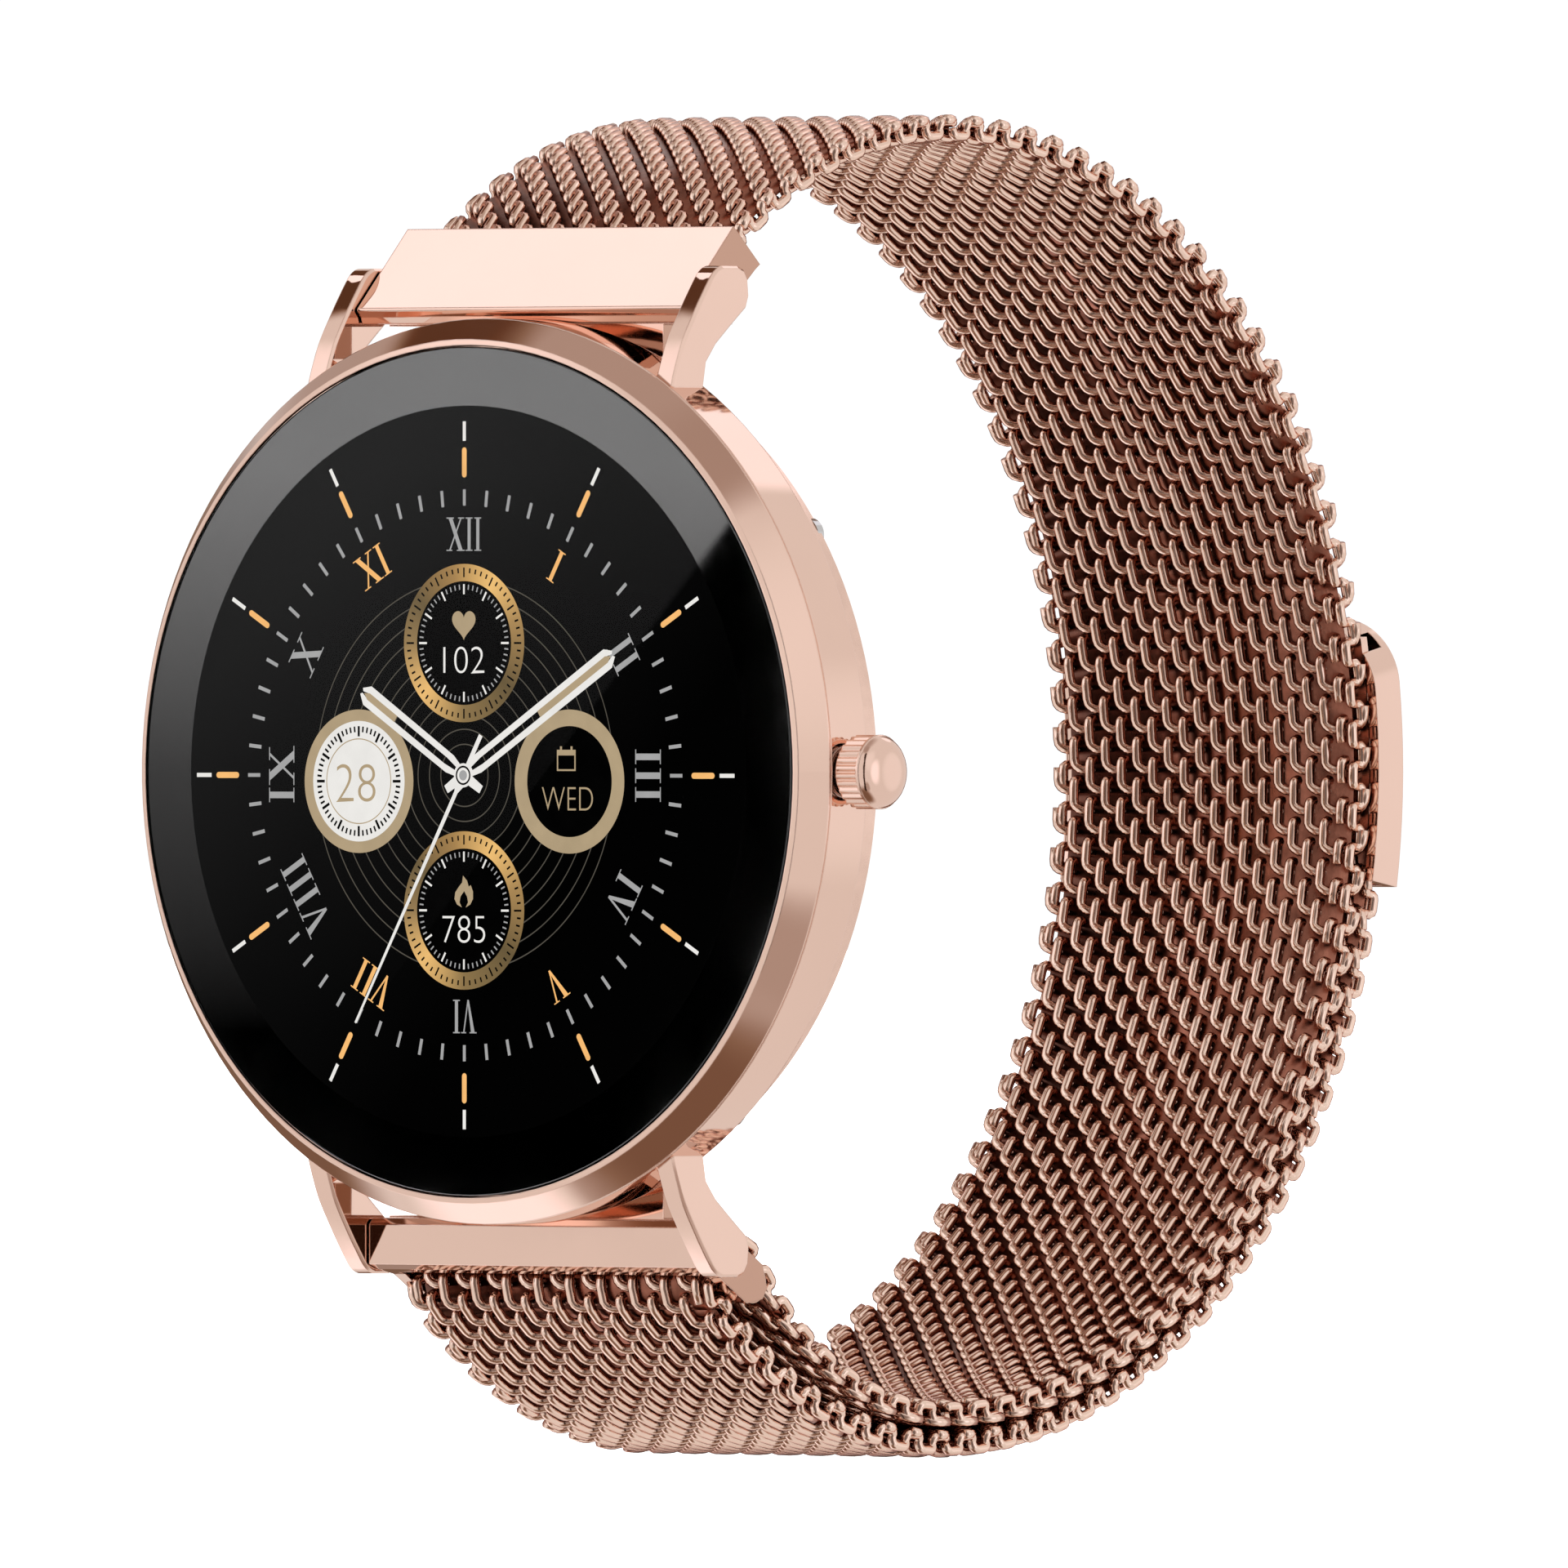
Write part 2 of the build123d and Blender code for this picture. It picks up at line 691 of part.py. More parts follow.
TAIL_STOP = TAB_BOTTOM + 3.6  # the tail ends inside the clasp tab
front_sweep = 270 - tail_start
back_sweep = TAIL_STOP + 90
tail_cuts = [tail_start, tail_start + front_sweep / 2, 270, 270 + back_sweep / 3, 270 + back_sweep * 2 / 3, 270 + back_sweep]
for number in range(TAIL_PIECES):
    centre, radius = (tail_centre, tail_front_radius) if number < 2 else (band_centre, tail_radius)
    finish(strip(centre, radius, tail_cuts[number], tail_cuts[number + 1]), f"mesh_tail_{number + 1}")

# ---------------------------------------------------------------- magnetic clasp
tail_outer = tail_radius + MESH_THICKNESS / 2
tab_inner = BAND_RADIUS + MESH_THICKNESS / 2 + 0.07
TAB_WALL = 0.45


def tab_layer(start, stop, inner, outer, half):
    return strip(band_centre, (inner + outer) / 2, start, stop, half, outer - inner)


tab_hollow = tab_layer(TAB_BOTTOM - 1, TAB_TOP - 1.0, tab_inner - 1, tail_outer + 0.02, MESH_HALF + 0.05)
clasp_tab = tab_layer(TAB_BOTTOM, TAB_TOP, tab_inner, tail_outer + TAB_WALL, TAB_HALF)
with clasp_tab:
    fillet(clasp_tab.edges().filter_by(Axis.Y, tolerance=15).group_by(Axis.Z)[-1], 3.0)
    add(tab_hollow.part, mode=Mode.SUBTRACT)
finish(clasp_tab, "clasp_tab")

clasp_cover = tab_layer(TAIL_STOP + 0.1, TAB_TOP - 1.05, tab_inner, tab_inner + 0.45, MESH_HALF)
finish(clasp_cover, "clasp_cover")

with BuildPart() as clasp_magnets:
    for centre_x in (-5.6, 0, 5.6):
        with BuildSketch(Plane.XY.offset(1.0)):
            with Locations((centre_x, behind_glass(BAND_DEPTH) + tab_inner + 0.745)):
                Rectangle(4.8, 0.55)
        extrude(amount=3.4, both=True)
finish(clasp_magnets, "clasp_magnets")
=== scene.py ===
"""Looks of the round smartwatch with a woven mesh band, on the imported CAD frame.

Lengths are written in millimetres and scaled to metres. +X is 3 o'clock, +Z is 12 o'clock and -Y is
out of the display. Depths are measured from the front of the glass towards the wrist.
"""

import math

import bmesh
import bpy
import numpy as np
from mathutils import Matrix, Vector


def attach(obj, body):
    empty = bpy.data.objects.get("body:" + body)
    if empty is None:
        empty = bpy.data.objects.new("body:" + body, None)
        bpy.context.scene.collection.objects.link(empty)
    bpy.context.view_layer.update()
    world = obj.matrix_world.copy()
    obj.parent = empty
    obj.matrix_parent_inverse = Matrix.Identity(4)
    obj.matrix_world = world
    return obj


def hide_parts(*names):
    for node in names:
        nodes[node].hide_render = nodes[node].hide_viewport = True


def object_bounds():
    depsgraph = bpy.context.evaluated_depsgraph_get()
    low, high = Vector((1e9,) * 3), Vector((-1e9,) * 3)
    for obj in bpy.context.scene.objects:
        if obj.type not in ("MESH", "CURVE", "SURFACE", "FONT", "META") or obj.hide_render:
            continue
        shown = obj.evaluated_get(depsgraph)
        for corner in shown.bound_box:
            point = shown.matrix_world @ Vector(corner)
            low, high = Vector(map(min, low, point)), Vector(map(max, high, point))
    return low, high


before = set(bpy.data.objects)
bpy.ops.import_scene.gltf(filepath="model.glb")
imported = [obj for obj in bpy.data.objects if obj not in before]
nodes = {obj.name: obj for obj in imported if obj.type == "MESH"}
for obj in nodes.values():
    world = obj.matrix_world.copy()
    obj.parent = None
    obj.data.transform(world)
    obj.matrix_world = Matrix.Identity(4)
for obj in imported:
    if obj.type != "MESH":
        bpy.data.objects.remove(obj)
cad_low, cad_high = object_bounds()
scene = bpy.context.scene
MM = 0.001
CASE_DEPTH = 10.4  # how far the front of the glass is ahead of the frame's origin
NO_TINT = (1.0, 1.0, 1.0)

# ---------------------------------------------------------------- camera
AZIMUTH = math.radians(40.18)
ELEVATION = math.radians(0.13)
CAMERA_DISTANCE = 2.0
VIEW_WIDTH = 0.07264  # width of the picture at the target
SENSOR_WIDTH = 36.0
TARGET = Vector((0.01124, -0.00091, -0.00058))

back = Vector((
    math.sin(AZIMUTH) * math.cos(ELEVATION),
    -math.cos(AZIMUTH) * math.cos(ELEVATION),
    math.sin(ELEVATION),
))
camera = bpy.data.objects.new("camera", bpy.data.cameras.new("camera"))
camera.data.sensor_width = SENSOR_WIDTH
camera.data.lens = SENSOR_WIDTH * CAMERA_DISTANCE / VIEW_WIDTH
camera.location = TARGET + back * CAMERA_DISTANCE
camera.rotation_euler = back.to_track_quat("Z", "Y").to_euler()
scene.collection.objects.link(camera)
scene.camera = camera
scene.view_settings.view_transform = "Standard"


# ---------------------------------------------------------------- shader helpers
NOISE_ROUGHNESS = 0.55
GRAIN_HEIGHT = 0.00002
BASE_IOR = 1.5


def new_material(name):
    """A node material, its node tree and its Principled shader."""
    material = bpy.data.materials.new(name)
    material.use_nodes = True
    tree = material.node_tree
    shader = tree.nodes["Principled BSDF"]
    return material, tree, shader


def object_coordinates(tree, scale=(1, 1, 1), rotation=(0, 0, 0), location=(0, 0, 0)):
    coordinates = tree.nodes.new("ShaderNodeTexCoord")
    mapping = tree.nodes.new("ShaderNodeMapping")
    mapping.inputs["Scale"].default_value = scale
    mapping.inputs["Rotation"].default_value = rotation
    mapping.inputs["Location"].default_value = location
    tree.links.new(coordinates.outputs["Object"], mapping.inputs["Vector"])
    return mapping.outputs["Vector"]


def noise(tree, vector, scale, detail):
    """Cloudy pattern, mostly between 0.3 and 0.7."""
    texture = tree.nodes.new("ShaderNodeTexNoise")
    texture.inputs["Scale"].default_value = scale
    texture.inputs["Detail"].default_value = detail
    texture.inputs["Roughness"].default_value = NOISE_ROUGHNESS
    tree.links.new(vector, texture.inputs["Vector"])
    return texture.outputs["Fac"]


def ramp(tree, factor, stops):
    """Colour ramp; stops are (position, colour)."""
    node = tree.nodes.new("ShaderNodeValToRGB")
    elements = node.color_ramp.elements
    while len(elements) > 1:
        elements.remove(elements[-1])
    for index, (position, colour) in enumerate(stops):
        element = elements[0] if index == 0 else elements.new(position)
        element.position = position
        element.color = (*colour, 1)
    tree.links.new(factor, node.inputs["Fac"])
    return node.outputs["Color"]


def spread(tree, factor, low, high, start=0.3, stop=0.7):
    """Maps a value between start and stop to one between low and high."""
    node = tree.nodes.new("ShaderNodeMapRange")
    node.inputs["From Min"].default_value = start
    node.inputs["From Max"].default_value = stop
    node.inputs["To Min"].default_value = low
    node.inputs["To Max"].default_value = high
    tree.links.new(factor, node.inputs["Value"])
    return node.outputs["Result"]


def multiply(tree, first, second):
    """Product of two colours."""
    mix = tree.nodes.new("ShaderNodeMix")
    mix.data_type = "RGBA"
    mix.blend_type = "MULTIPLY"
    mix.inputs["Factor"].default_value = 1.0
    tree.links.new(first, mix.inputs[6])
    tree.links.new(second, mix.inputs[7])
    return mix.outputs[2]


def bump(tree, shader, height, strength, edge=0.0):
    """Fine relief; edge rounds sharp edges over this radius in metres."""
    node = tree.nodes.new("ShaderNodeBump")
    if edge:
        bevel = tree.nodes.new("ShaderNodeBevel")
        bevel.samples = 6
        bevel.inputs["Radius"].default_value = edge
        tree.links.new(bevel.outputs["Normal"], node.inputs["Normal"])
    node.inputs["Strength"].default_value = strength
    node.inputs["Distance"].default_value = GRAIN_HEIGHT
    tree.links.new(height, node.inputs["Height"])
    tree.links.new(node.outputs["Normal"], shader.inputs["Normal"])


def shade(colour, factor):
    return tuple(min(1.0, channel * factor) for channel in colour)


def finish_material(
    name,
    colour,
    rough,
    metallic=0.0,
    vary=0.06,
    rough_vary=0.05,
    colour_scale=220.0,
    stretch=(1, 1, 1),
    grain_scale=2500.0,
    grain=0.08,
    coat=0.0,
    edge=0.0,
):
    """Metal or plastic: cloudy colour, uneven polish and a fine grain."""
    material, tree, shader = new_material(name)
    vector = object_coordinates(tree, scale=stretch)
    cloud = noise(tree, vector, colour_scale, 4.0)
    stops = [(0.3, shade(colour, 1 - vary)), (0.7, shade(colour, 1 + vary))]
    tree.links.new(ramp(tree, cloud, stops), shader.inputs["Base Color"])
    polish = noise(tree, vector, colour_scale * 2.3, 5.0)
    uneven = spread(tree, polish, max(0.0, rough - rough_vary), rough + rough_vary)
    tree.links.new(uneven, shader.inputs["Roughness"])
    fine = noise(tree, vector, grain_scale, 2.0)
    bump(tree, shader, fine, grain, edge)
    shader.inputs["Metallic"].default_value = metallic
    shader.inputs["IOR"].default_value = BASE_IOR
    shader.inputs["Coat Weight"].default_value = coat
    return material


def lit_material(name, stops, factor=None):
    """Lit part of the display: emission from a ramp over a pattern."""
    material, tree, shader = new_material(name)
    shader.inputs["Base Color"].default_value = (0.0, 0.0, 0.0, 1)
    shader.inputs["Roughness"].default_value = 0.5
    shader.inputs["Specular IOR Level"].default_value = 0.0
    pattern = factor(tree) if factor else noise(tree, object_coordinates(tree), 900.0, 2.0)
    tree.links.new(ramp(tree, pattern, stops), shader.inputs["Emission Color"])
    shader.inputs["Emission Strength"].default_value = 1.0
    return material


def srgb(*levels):
    """Linear colour for display levels from 0 to 255."""
    return tuple(
        ((level / 255 + 0.055) / 1.055) ** 2.4 if level > 10 else level / 255 / 12.92
        for level in levels
    )


# ---------------------------------------------------------------- materials
ROSE = (0.90, 0.635, 0.52)
# painted shade for the end faces of the end link and the buckle
END_FACE_SHADE = (0.66, 0.56, 0.50)
POLISHED = {
    "rough": 0.05,
    "metallic": 1.0,
    "vary": 0.02,
    "rough_vary": 0.02,
    "colour_scale": 90,
    "grain_scale": 900,
    "grain": 0.015,
    "edge": 0.00009,
}
rose_gold = finish_material("rose_gold", ROSE, **POLISHED)


def shaded_end_piece_material():
    """Polished like the case, with painted shade darkening the end that faces +X."""
    material = finish_material("end_piece", ROSE, **POLISHED)
    tree = material.node_tree
    shader = tree.nodes["Principled BSDF"]
    source = shader.inputs["Base Color"].links[0].from_socket
    geometry = tree.nodes.new("ShaderNodeNewGeometry")
    separate = tree.nodes.new("ShaderNodeSeparateXYZ")
    tree.links.new(geometry.outputs["Normal"], separate.inputs["Vector"])
    # painted shade: faces turned towards +X are darkened
    stops = [(0.0, NO_TINT), (0.80, NO_TINT), (0.92, END_FACE_SHADE)]
    painted_end_shade = ramp(tree, separate.outputs["X"], stops)
    tree.links.new(multiply(tree, source, painted_end_shade), shader.inputs["Base Color"])
    return material


polished_end_piece_with_shade = shaded_end_piece_material()
WEAVE_HOLLOW = 0.0011  # how far a wire looks for its neighbours, for the painted shade in the weave's hollows


def wire_material():
    """Polished wire with painted light: painted highlights, pale along both flanks; painted shade,
    brown on its crown and in the weave's depths.
    """
    material, tree, shader = new_material("rose_wire")
    vector = object_coordinates(tree)
    # painted highlights on the flanks and painted shade on the crown and rims, by how squarely the
    # wire faces the view
    facing = tree.nodes.new("ShaderNodeLayerWeight")
    facing.inputs["Blend"].default_value = 0.5
    painted_facing_light = ramp(tree, facing.outputs["Facing"], [
        (0.0, (0.26, 0.165, 0.13)),
        (0.035, (0.40, 0.25, 0.19)),
        (0.10, (1.0, 0.76, 0.63)),
        (0.50, (1.0, 0.72, 0.58)),
        (0.72, (0.84, 0.42, 0.30)),
        (1.0, (0.40, 0.12, 0.075)),
    ])
    cloud = noise(tree, vector, 260.0, 4.0)
    patina = ramp(tree, cloud, [(0.3, (0.93, 0.91, 0.9)), (0.7, NO_TINT)])
    # painted shade: darker and redder where neighbouring wires crowd round
    hollow = tree.nodes.new("ShaderNodeAmbientOcclusion")
    hollow.samples = 4
    hollow.inputs["Distance"].default_value = WEAVE_HOLLOW
    shadow = ramp(tree, hollow.outputs["AO"], [
        (0.06, (0.10, 0.03, 0.02)),
        (0.30, (0.66, 0.40, 0.33)),
        (0.48, NO_TINT),
    ])
    colour = multiply(tree, multiply(tree, painted_facing_light, patina), shadow)
    tree.links.new(colour, shader.inputs["Base Color"])
    polish = spread(tree, noise(tree, vector, 600.0, 5.0), 0.10, 0.2)
    tree.links.new(polish, shader.inputs["Roughness"])
    bump(tree, shader, noise(tree, vector, 2500.0, 2.0), 0.04)
    shader.inputs["Metallic"].default_value = 1.0
    return material


rose_wire = wire_material()
# dark sheet inside the weave: painted shade for the deep gaps between the wires
weave_shade_sheet = finish_material(
    "weave_shade_sheet", (0.34, 0.13, 0.085), 0.3, 1.0, vary=0.35, colour_scale=900, grain=0.5
)
brushed_rose = finish_material(
    "brushed_rose_steel",
    ROSE,
    0.24,
    1.0,
    vary=0.04,
    rough_vary=0.06,
    colour_scale=140,
    stretch=(1, 9, 9),
    grain=0.12,
)
black_rubber = finish_material("black_rubber", (0.018, 0.018, 0.02), 0.62, vary=0.2, grain=0.3)
flex_film = finish_material("flex_film", (0.55, 0.26, 0.06), 0.34, vary=0.12, coat=0.2)
dark_plastic = finish_material("dark_plastic", (0.03, 0.031, 0.034), 0.42, vary=0.15, grain=0.35)
white_plastic = finish_material("white_plastic", (0.74, 0.74, 0.72), 0.38, vary=0.04, grain=0.2)
circuit_board = finish_material(
    "circuit_board", (0.015, 0.11, 0.055), 0.36, vary=0.25, colour_scale=700, coat=0.3
)
chip_black = finish_material("chip_black", (0.03, 0.03, 0.033), 0.5, vary=0.2, grain=0.3)
battery_foil = finish_material(
    "battery_foil", (0.62, 0.63, 0.64), 0.3, 0.85, vary=0.08, stretch=(1, 1, 6)
)
steel = finish_material("steel", (0.66, 0.65, 0.64), 0.2, 1.0, vary=0.05, stretch=(5, 1, 1))
spring_steel = finish_material("spring_steel", (0.5, 0.5, 0.52), 0.26, 1.0, vary=0.08)
contact_gold = finish_material("contact_gold", (0.95, 0.68, 0.3), 0.14, 1.0, vary=0.05)
magnet_nickel = finish_material("magnet_nickel", (0.6, 0.59, 0.57), 0.22, 1.0, vary=0.06)
sensor_diodes = finish_material("sensor_diodes", (0.06, 0.32, 0.12), 0.25, vary=0.3, coat=0.4)
sensor_glass = finish_material(
    "sensor_glass", (0.008, 0.008, 0.01), 0.06, vary=0.3, rough_vary=0.02, coat=0.5
)

watch_glass, glass_tree, glass_shader = new_material("watch_glass")
glass_shader.inputs["Transmission Weight"].default_value = 1.0
glass_shader.inputs["IOR"].default_value = 1.22
smudges = noise(glass_tree, object_coordinates(glass_tree), 120.0, 4.0)
glass_tree.links.new(spread(glass_tree, smudges, 0.0, 0.02), glass_shader.inputs["Roughness"])
smears = [(0.3, (0.985, 0.985, 0.985)), (0.7, NO_TINT)]
glass_tree.links.new(ramp(glass_tree, smudges, smears), glass_shader.inputs["Base Color"])

FINISHES = {
    rose_gold: ["case_middle", "crown_cap", "clasp_tab"],
    polished_end_piece_with_shade: ["upper_link", "buckle"],
    brushed_rose: ["case_back", "clasp_cover", "crown_tube"],
    black_rubber: ["glass_seal", "back_gasket", "crown_seal"],
    flex_film: ["display_cable"],
    dark_plastic: ["inner_carrier", "push_switch", "encoder_bracket", "display_panel"],
    white_plastic: ["switch_plunger", "encoder_wheel"],
    circuit_board: ["main_board", "sensor_board"],
    chip_black: ["board_chips"],
    battery_foil: ["battery"],
    steel: [
        "vibration_motor", "back_screws", "crown_stem", "stem_clip",
        "upper_bar_tube", "upper_bar_left_tip", "upper_bar_right_tip",
        "lower_bar_tube", "lower_bar_left_tip", "lower_bar_right_tip",
    ],
    spring_steel: ["crown_spring", "upper_bar_spring", "lower_bar_spring"],
    contact_gold: ["charging_rings"],
    magnet_nickel: ["clasp_magnets"],
    sensor_diodes: ["sensor_optics"],
    sensor_glass: ["sensor_window"],
    watch_glass: ["glass"],
}
for material, names in FINISHES.items():
    for name in names:
        slots = nodes[name].data.materials
        slots.clear()
        slots.append(material)


# ---------------------------------------------------------------- woven band
PITCH = 1.93  # from turn to turn across the band
ROW = 0.97  # from row to row along the band
REACH = 0.74  # half of a turn's length along the band
LIFT = 0.42  # half of a turn's height, to the wire's middle
WIRE = 0.24  # wire radius
DRIFT = 0.10  # share of a turn's step sideways that is spread along it; the rest is at its later bend
BEND = (math.radians(-80), math.radians(110))  # part of the turn over which that bend steps sideways
SQUARENESS = 0.45  # 1 for a round turn, less for a flattened one
EVEN_STEP = 0.45  # how evenly it steps there: 1 for a straight line, 0 for an eased one
WEAVE_HALF = 8.75  # half of the band's width, without the wires at its edges
TURN_STEPS = 24
WIRE_SIDES = 8
SHADE_SHEET_HALF = 0.02  # half of the thickness of the dark sheet of painted shade
SHADE_SHEET_INSET = 0.1
SHADE_SHEET_STEP = 0.6

BAND_CENTRE = (24.25 - CASE_DEPTH, 0.0)
UPPER_CENTRE = (BAND_CENTRE[0], 4.95)
BAND_RADIUS = 29.95
UPPER_RADIUS = 25.0
TAIL_RADIUS = BAND_RADIUS + 1.42
FOLD_RADIUS = 1.7
BAR_DEPTH = 5.6
BAR_HEIGHT = 21.7
FOLD_REACH = 3.8  # from the lower sprung bar to the rod that the mesh is folded round
BUCKLE_SLOPE = math.radians(31.7)
CLASP_BOTTOM = -9.8  # angle at which the clasp tab begins
TAIL_IN_CLASP = 3.6  # angle by which the tail reaches into it
FOLD_CENTRE = (
    BAR_DEPTH + FOLD_REACH * math.cos(BUCKLE_SLOPE) - CASE_DEPTH,
    -BAR_HEIGHT - FOLD_REACH * math.sin(BUCKLE_SLOPE),
)
FOLD_DISTANCE = math.hypot(BAND_CENTRE[0] - FOLD_CENTRE[0], FOLD_CENTRE[1])


def shift_for(reach):
    """How far an arc's centre is lowered so that it meets the fold and the band's lowest point."""
    return (reach**2 - FOLD_DISTANCE**2) / (2 * (reach + FOLD_CENTRE[1]))


def angle_to(centre, point):
    return math.degrees(math.atan2(point[1] - centre[1], point[0] - centre[0])) % 360


inner_shift = shift_for(BAND_RADIUS + FOLD_RADIUS)
tail_shift = shift_for(TAIL_RADIUS - FOLD_RADIUS)
INNER_CENTRE = (BAND_CENTRE[0], -inner_shift)
TAIL_CENTRE = (BAND_CENTRE[0], -tail_shift)
inner_end = angle_to(INNER_CENTRE, FOLD_CENTRE)
tail_start = angle_to(TAIL_CENTRE, FOLD_CENTRE)
tail_stop = 360 + CLASP_BOTTOM + TAIL_IN_CLASP
tail_middle = (tail_start + 270) / 2
tail_third = (tail_stop - 270) / 3

# node, body, centre, radius, first and last angle, and which way the outer face looks
LENGTHS = [
    ("mesh_upper_1", "upper_band", UPPER_CENTRE, UPPER_RADIUS, 133.86, 90, 1),
    ("mesh_upper_2", "upper_band_2", BAND_CENTRE, BAND_RADIUS, 90, 53, 1),
    ("mesh_upper_3", "upper_band_3", BAND_CENTRE, BAND_RADIUS, 53, 17, 1),
    ("mesh_lower_1", "lower_band", BAND_CENTRE, BAND_RADIUS, 17, -36, 1),
    ("mesh_lower_2", "lower_band", BAND_CENTRE, BAND_RADIUS, -36, -90, 1),
    ("mesh_lower_3", "lower_band", INNER_CENTRE, BAND_RADIUS - inner_shift, -90, inner_end - 360, 1),
    ("mesh_fold", "lower_band", FOLD_CENTRE, FOLD_RADIUS, inner_end - 180, tail_start, -1),
    ("mesh_tail_1", "tail_1", TAIL_CENTRE, TAIL_RADIUS - tail_shift, tail_start, tail_middle, -1),
    ("mesh_tail_2", "tail_2", TAIL_CENTRE, TAIL_RADIUS - tail_shift, tail_middle, 270, -1),
    ("mesh_tail_3", "tail_3", BAND_CENTRE, TAIL_RADIUS, 270, 270 + tail_third, -1),
    ("mesh_tail_4", "tail_4", BAND_CENTRE, TAIL_RADIUS, 270 + tail_third, 270 + 2 * tail_third, -1),
    ("mesh_tail_5", "tail_5", BAND_CENTRE, TAIL_RADIUS, 270 + 2 * tail_third, tail_stop, -1),
]
ARC_LENGTHS = [
    radius * math.radians(abs(last - first)) for _, _, _, radius, first, last, _ in LENGTHS
]
ARC_STARTS = np.concatenate([[0.0], np.cumsum(ARC_LENGTHS)])


def on_band(along, lift):
    """Points (y, z) this far along the band and this far above the middle of the mesh."""
    index = np.clip(np.searchsorted(ARC_STARTS, along, side="right") - 1, 0, len(LENGTHS) - 1)
    centre = np.array([length[2] for length in LENGTHS])[index]
    radius = np.array([length[3] for length in LENGTHS])[index]
    first = np.radians([length[4] for length in LENGTHS])[index]
    last = np.radians([length[5] for length in LENGTHS])[index]
    outward = np.array([length[6] for length in LENGTHS])[index]
    angle = first + np.sign(last - first) * (along - ARC_STARTS[index]) / radius
    reach = radius + outward * lift
    return centre[:, 0] + reach * np.cos(angle), centre[:, 1] + reach * np.sin(angle)


def row_place(number):
    return ROW * (number + 0.5)


def row_line(number):
    """Middle line of one row's wire: (x, y, z) points."""
    shift = PITCH * (0.25 if number % 2 else -0.25)
    first = (-WEAVE_HALF - shift) * 2 * math.pi / PITCH
    last = (WEAVE_HALF - shift) * 2 * math.pi / PITCH
    turn = np.linspace(first, last, int((last - first) / (2 * math.pi) * TURN_STEPS) + 1)
    whole = np.round(turn / (2 * math.pi))
    phase = turn - whole * 2 * math.pi
    step = np.clip((phase - BEND[0]) / (BEND[1] - BEND[0]), 0, 1)
    step = EVEN_STEP * step + (1 - EVEN_STEP) * step**2 * (3 - 2 * step)
    drift = DRIFT * (phase / (2 * math.pi) + 0.5)
    across = PITCH * (whole - 0.5 + drift + (1 - DRIFT) * step) + shift
    along = REACH * np.sign(np.cos(turn)) * np.abs(np.cos(turn)) ** SQUARENESS
    lift = LIFT * np.sign(np.sin(turn)) * np.abs(np.sin(turn)) ** SQUARENESS
    y, z = on_band(row_place(number) + along, lift)
    return np.column_stack([across, y, z])


# The edge wire over one row: how far along the band and how far above its middle.
EDGE_BEND = (
    (-0.485, 0.0), (-0.47, 0.2), (-0.38, 0.31), (-0.26, 0.34),
    (0.26, 0.34), (0.38, 0.31), (0.47, 0.2),
)
EDGE_GAP = 0.04
EDGE_BOW = 0.3  # how much further out it is for each millimetre that it rises


def edge_line(rows, hand):
    """Middle line of the bent wire that closes the edge, over one row and under the next."""
    bends = [(number, step, level) for number in rows for step, level in EDGE_BEND]
    along = [row_place(number) + step for number, step, _ in bends]
    lift = [level * (1 if number % 2 else -1) for number, _, level in bends]
    across = [hand * (WEAVE_HALF + EDGE_GAP + abs(level) * EDGE_BOW) for _, _, level in bends]
    y, z = on_band(np.array(along), np.array(lift))
    return np.column_stack([across, y, z])


def tube(line, radius, sides):
    """Vertices and faces of a closed-end tube along a line of points."""
    along = np.gradient(line, axis=0)
    along /= np.linalg.norm(along, axis=1)[:, None]
    side = np.cross(along, [1.0, 0.0, 0.0])
    side /= np.linalg.norm(side, axis=1)[:, None] + 1e-12
    up = np.cross(along, side)
    around = np.linspace(0, 2 * math.pi, sides, endpoint=False)
    rings = line[:, None] + radius * (
        np.cos(around)[None, :, None] * side[:, None] + np.sin(around)[None, :, None] * up[:, None]
    )
    count = len(line)
    ring = np.arange(count - 1)[:, None] * sides
    here = np.arange(sides)[None, :]
    following = (here + 1) % sides
    quads = np.stack(
        [ring + here, ring + following, ring + sides + following, ring + sides + here], axis=-1
    )
    caps = [list(range(sides))[::-1], list(range((count - 1) * sides, count * sides))]
    return rings.reshape(-1, 3), quads.reshape(-1, 4).tolist(), caps


def shade_sheet_strip(start, stop):
    """Thin dark sheet of painted shade in the middle of the mesh, where the rows' inner bends crowd
    together.
    """
    along = np.linspace(start, stop, int((stop - start) / SHADE_SHEET_STEP) + 2)
    corners = []
    for hand, side in ((-1, 1), (1, 1), (1, -1), (-1, -1)):
        y, z = on_band(along, side * SHADE_SHEET_HALF)
        corners.append(np.column_stack([np.full_like(y, hand * (WEAVE_HALF - SHADE_SHEET_INSET)), y, z]))
    points = np.stack(corners, axis=1).reshape(-1, 3)
    quads = [
        [4 * i + j, 4 * i + (j + 1) % 4, 4 * i + 4 + (j + 1) % 4, 4 * i + 4 + j]
        for i in range(len(along) - 1)
        for j in range(4)
    ]
    last = len(points)
    return points, quads + [[3, 2, 1, 0], [last - 4, last - 3, last - 2, last - 1]]


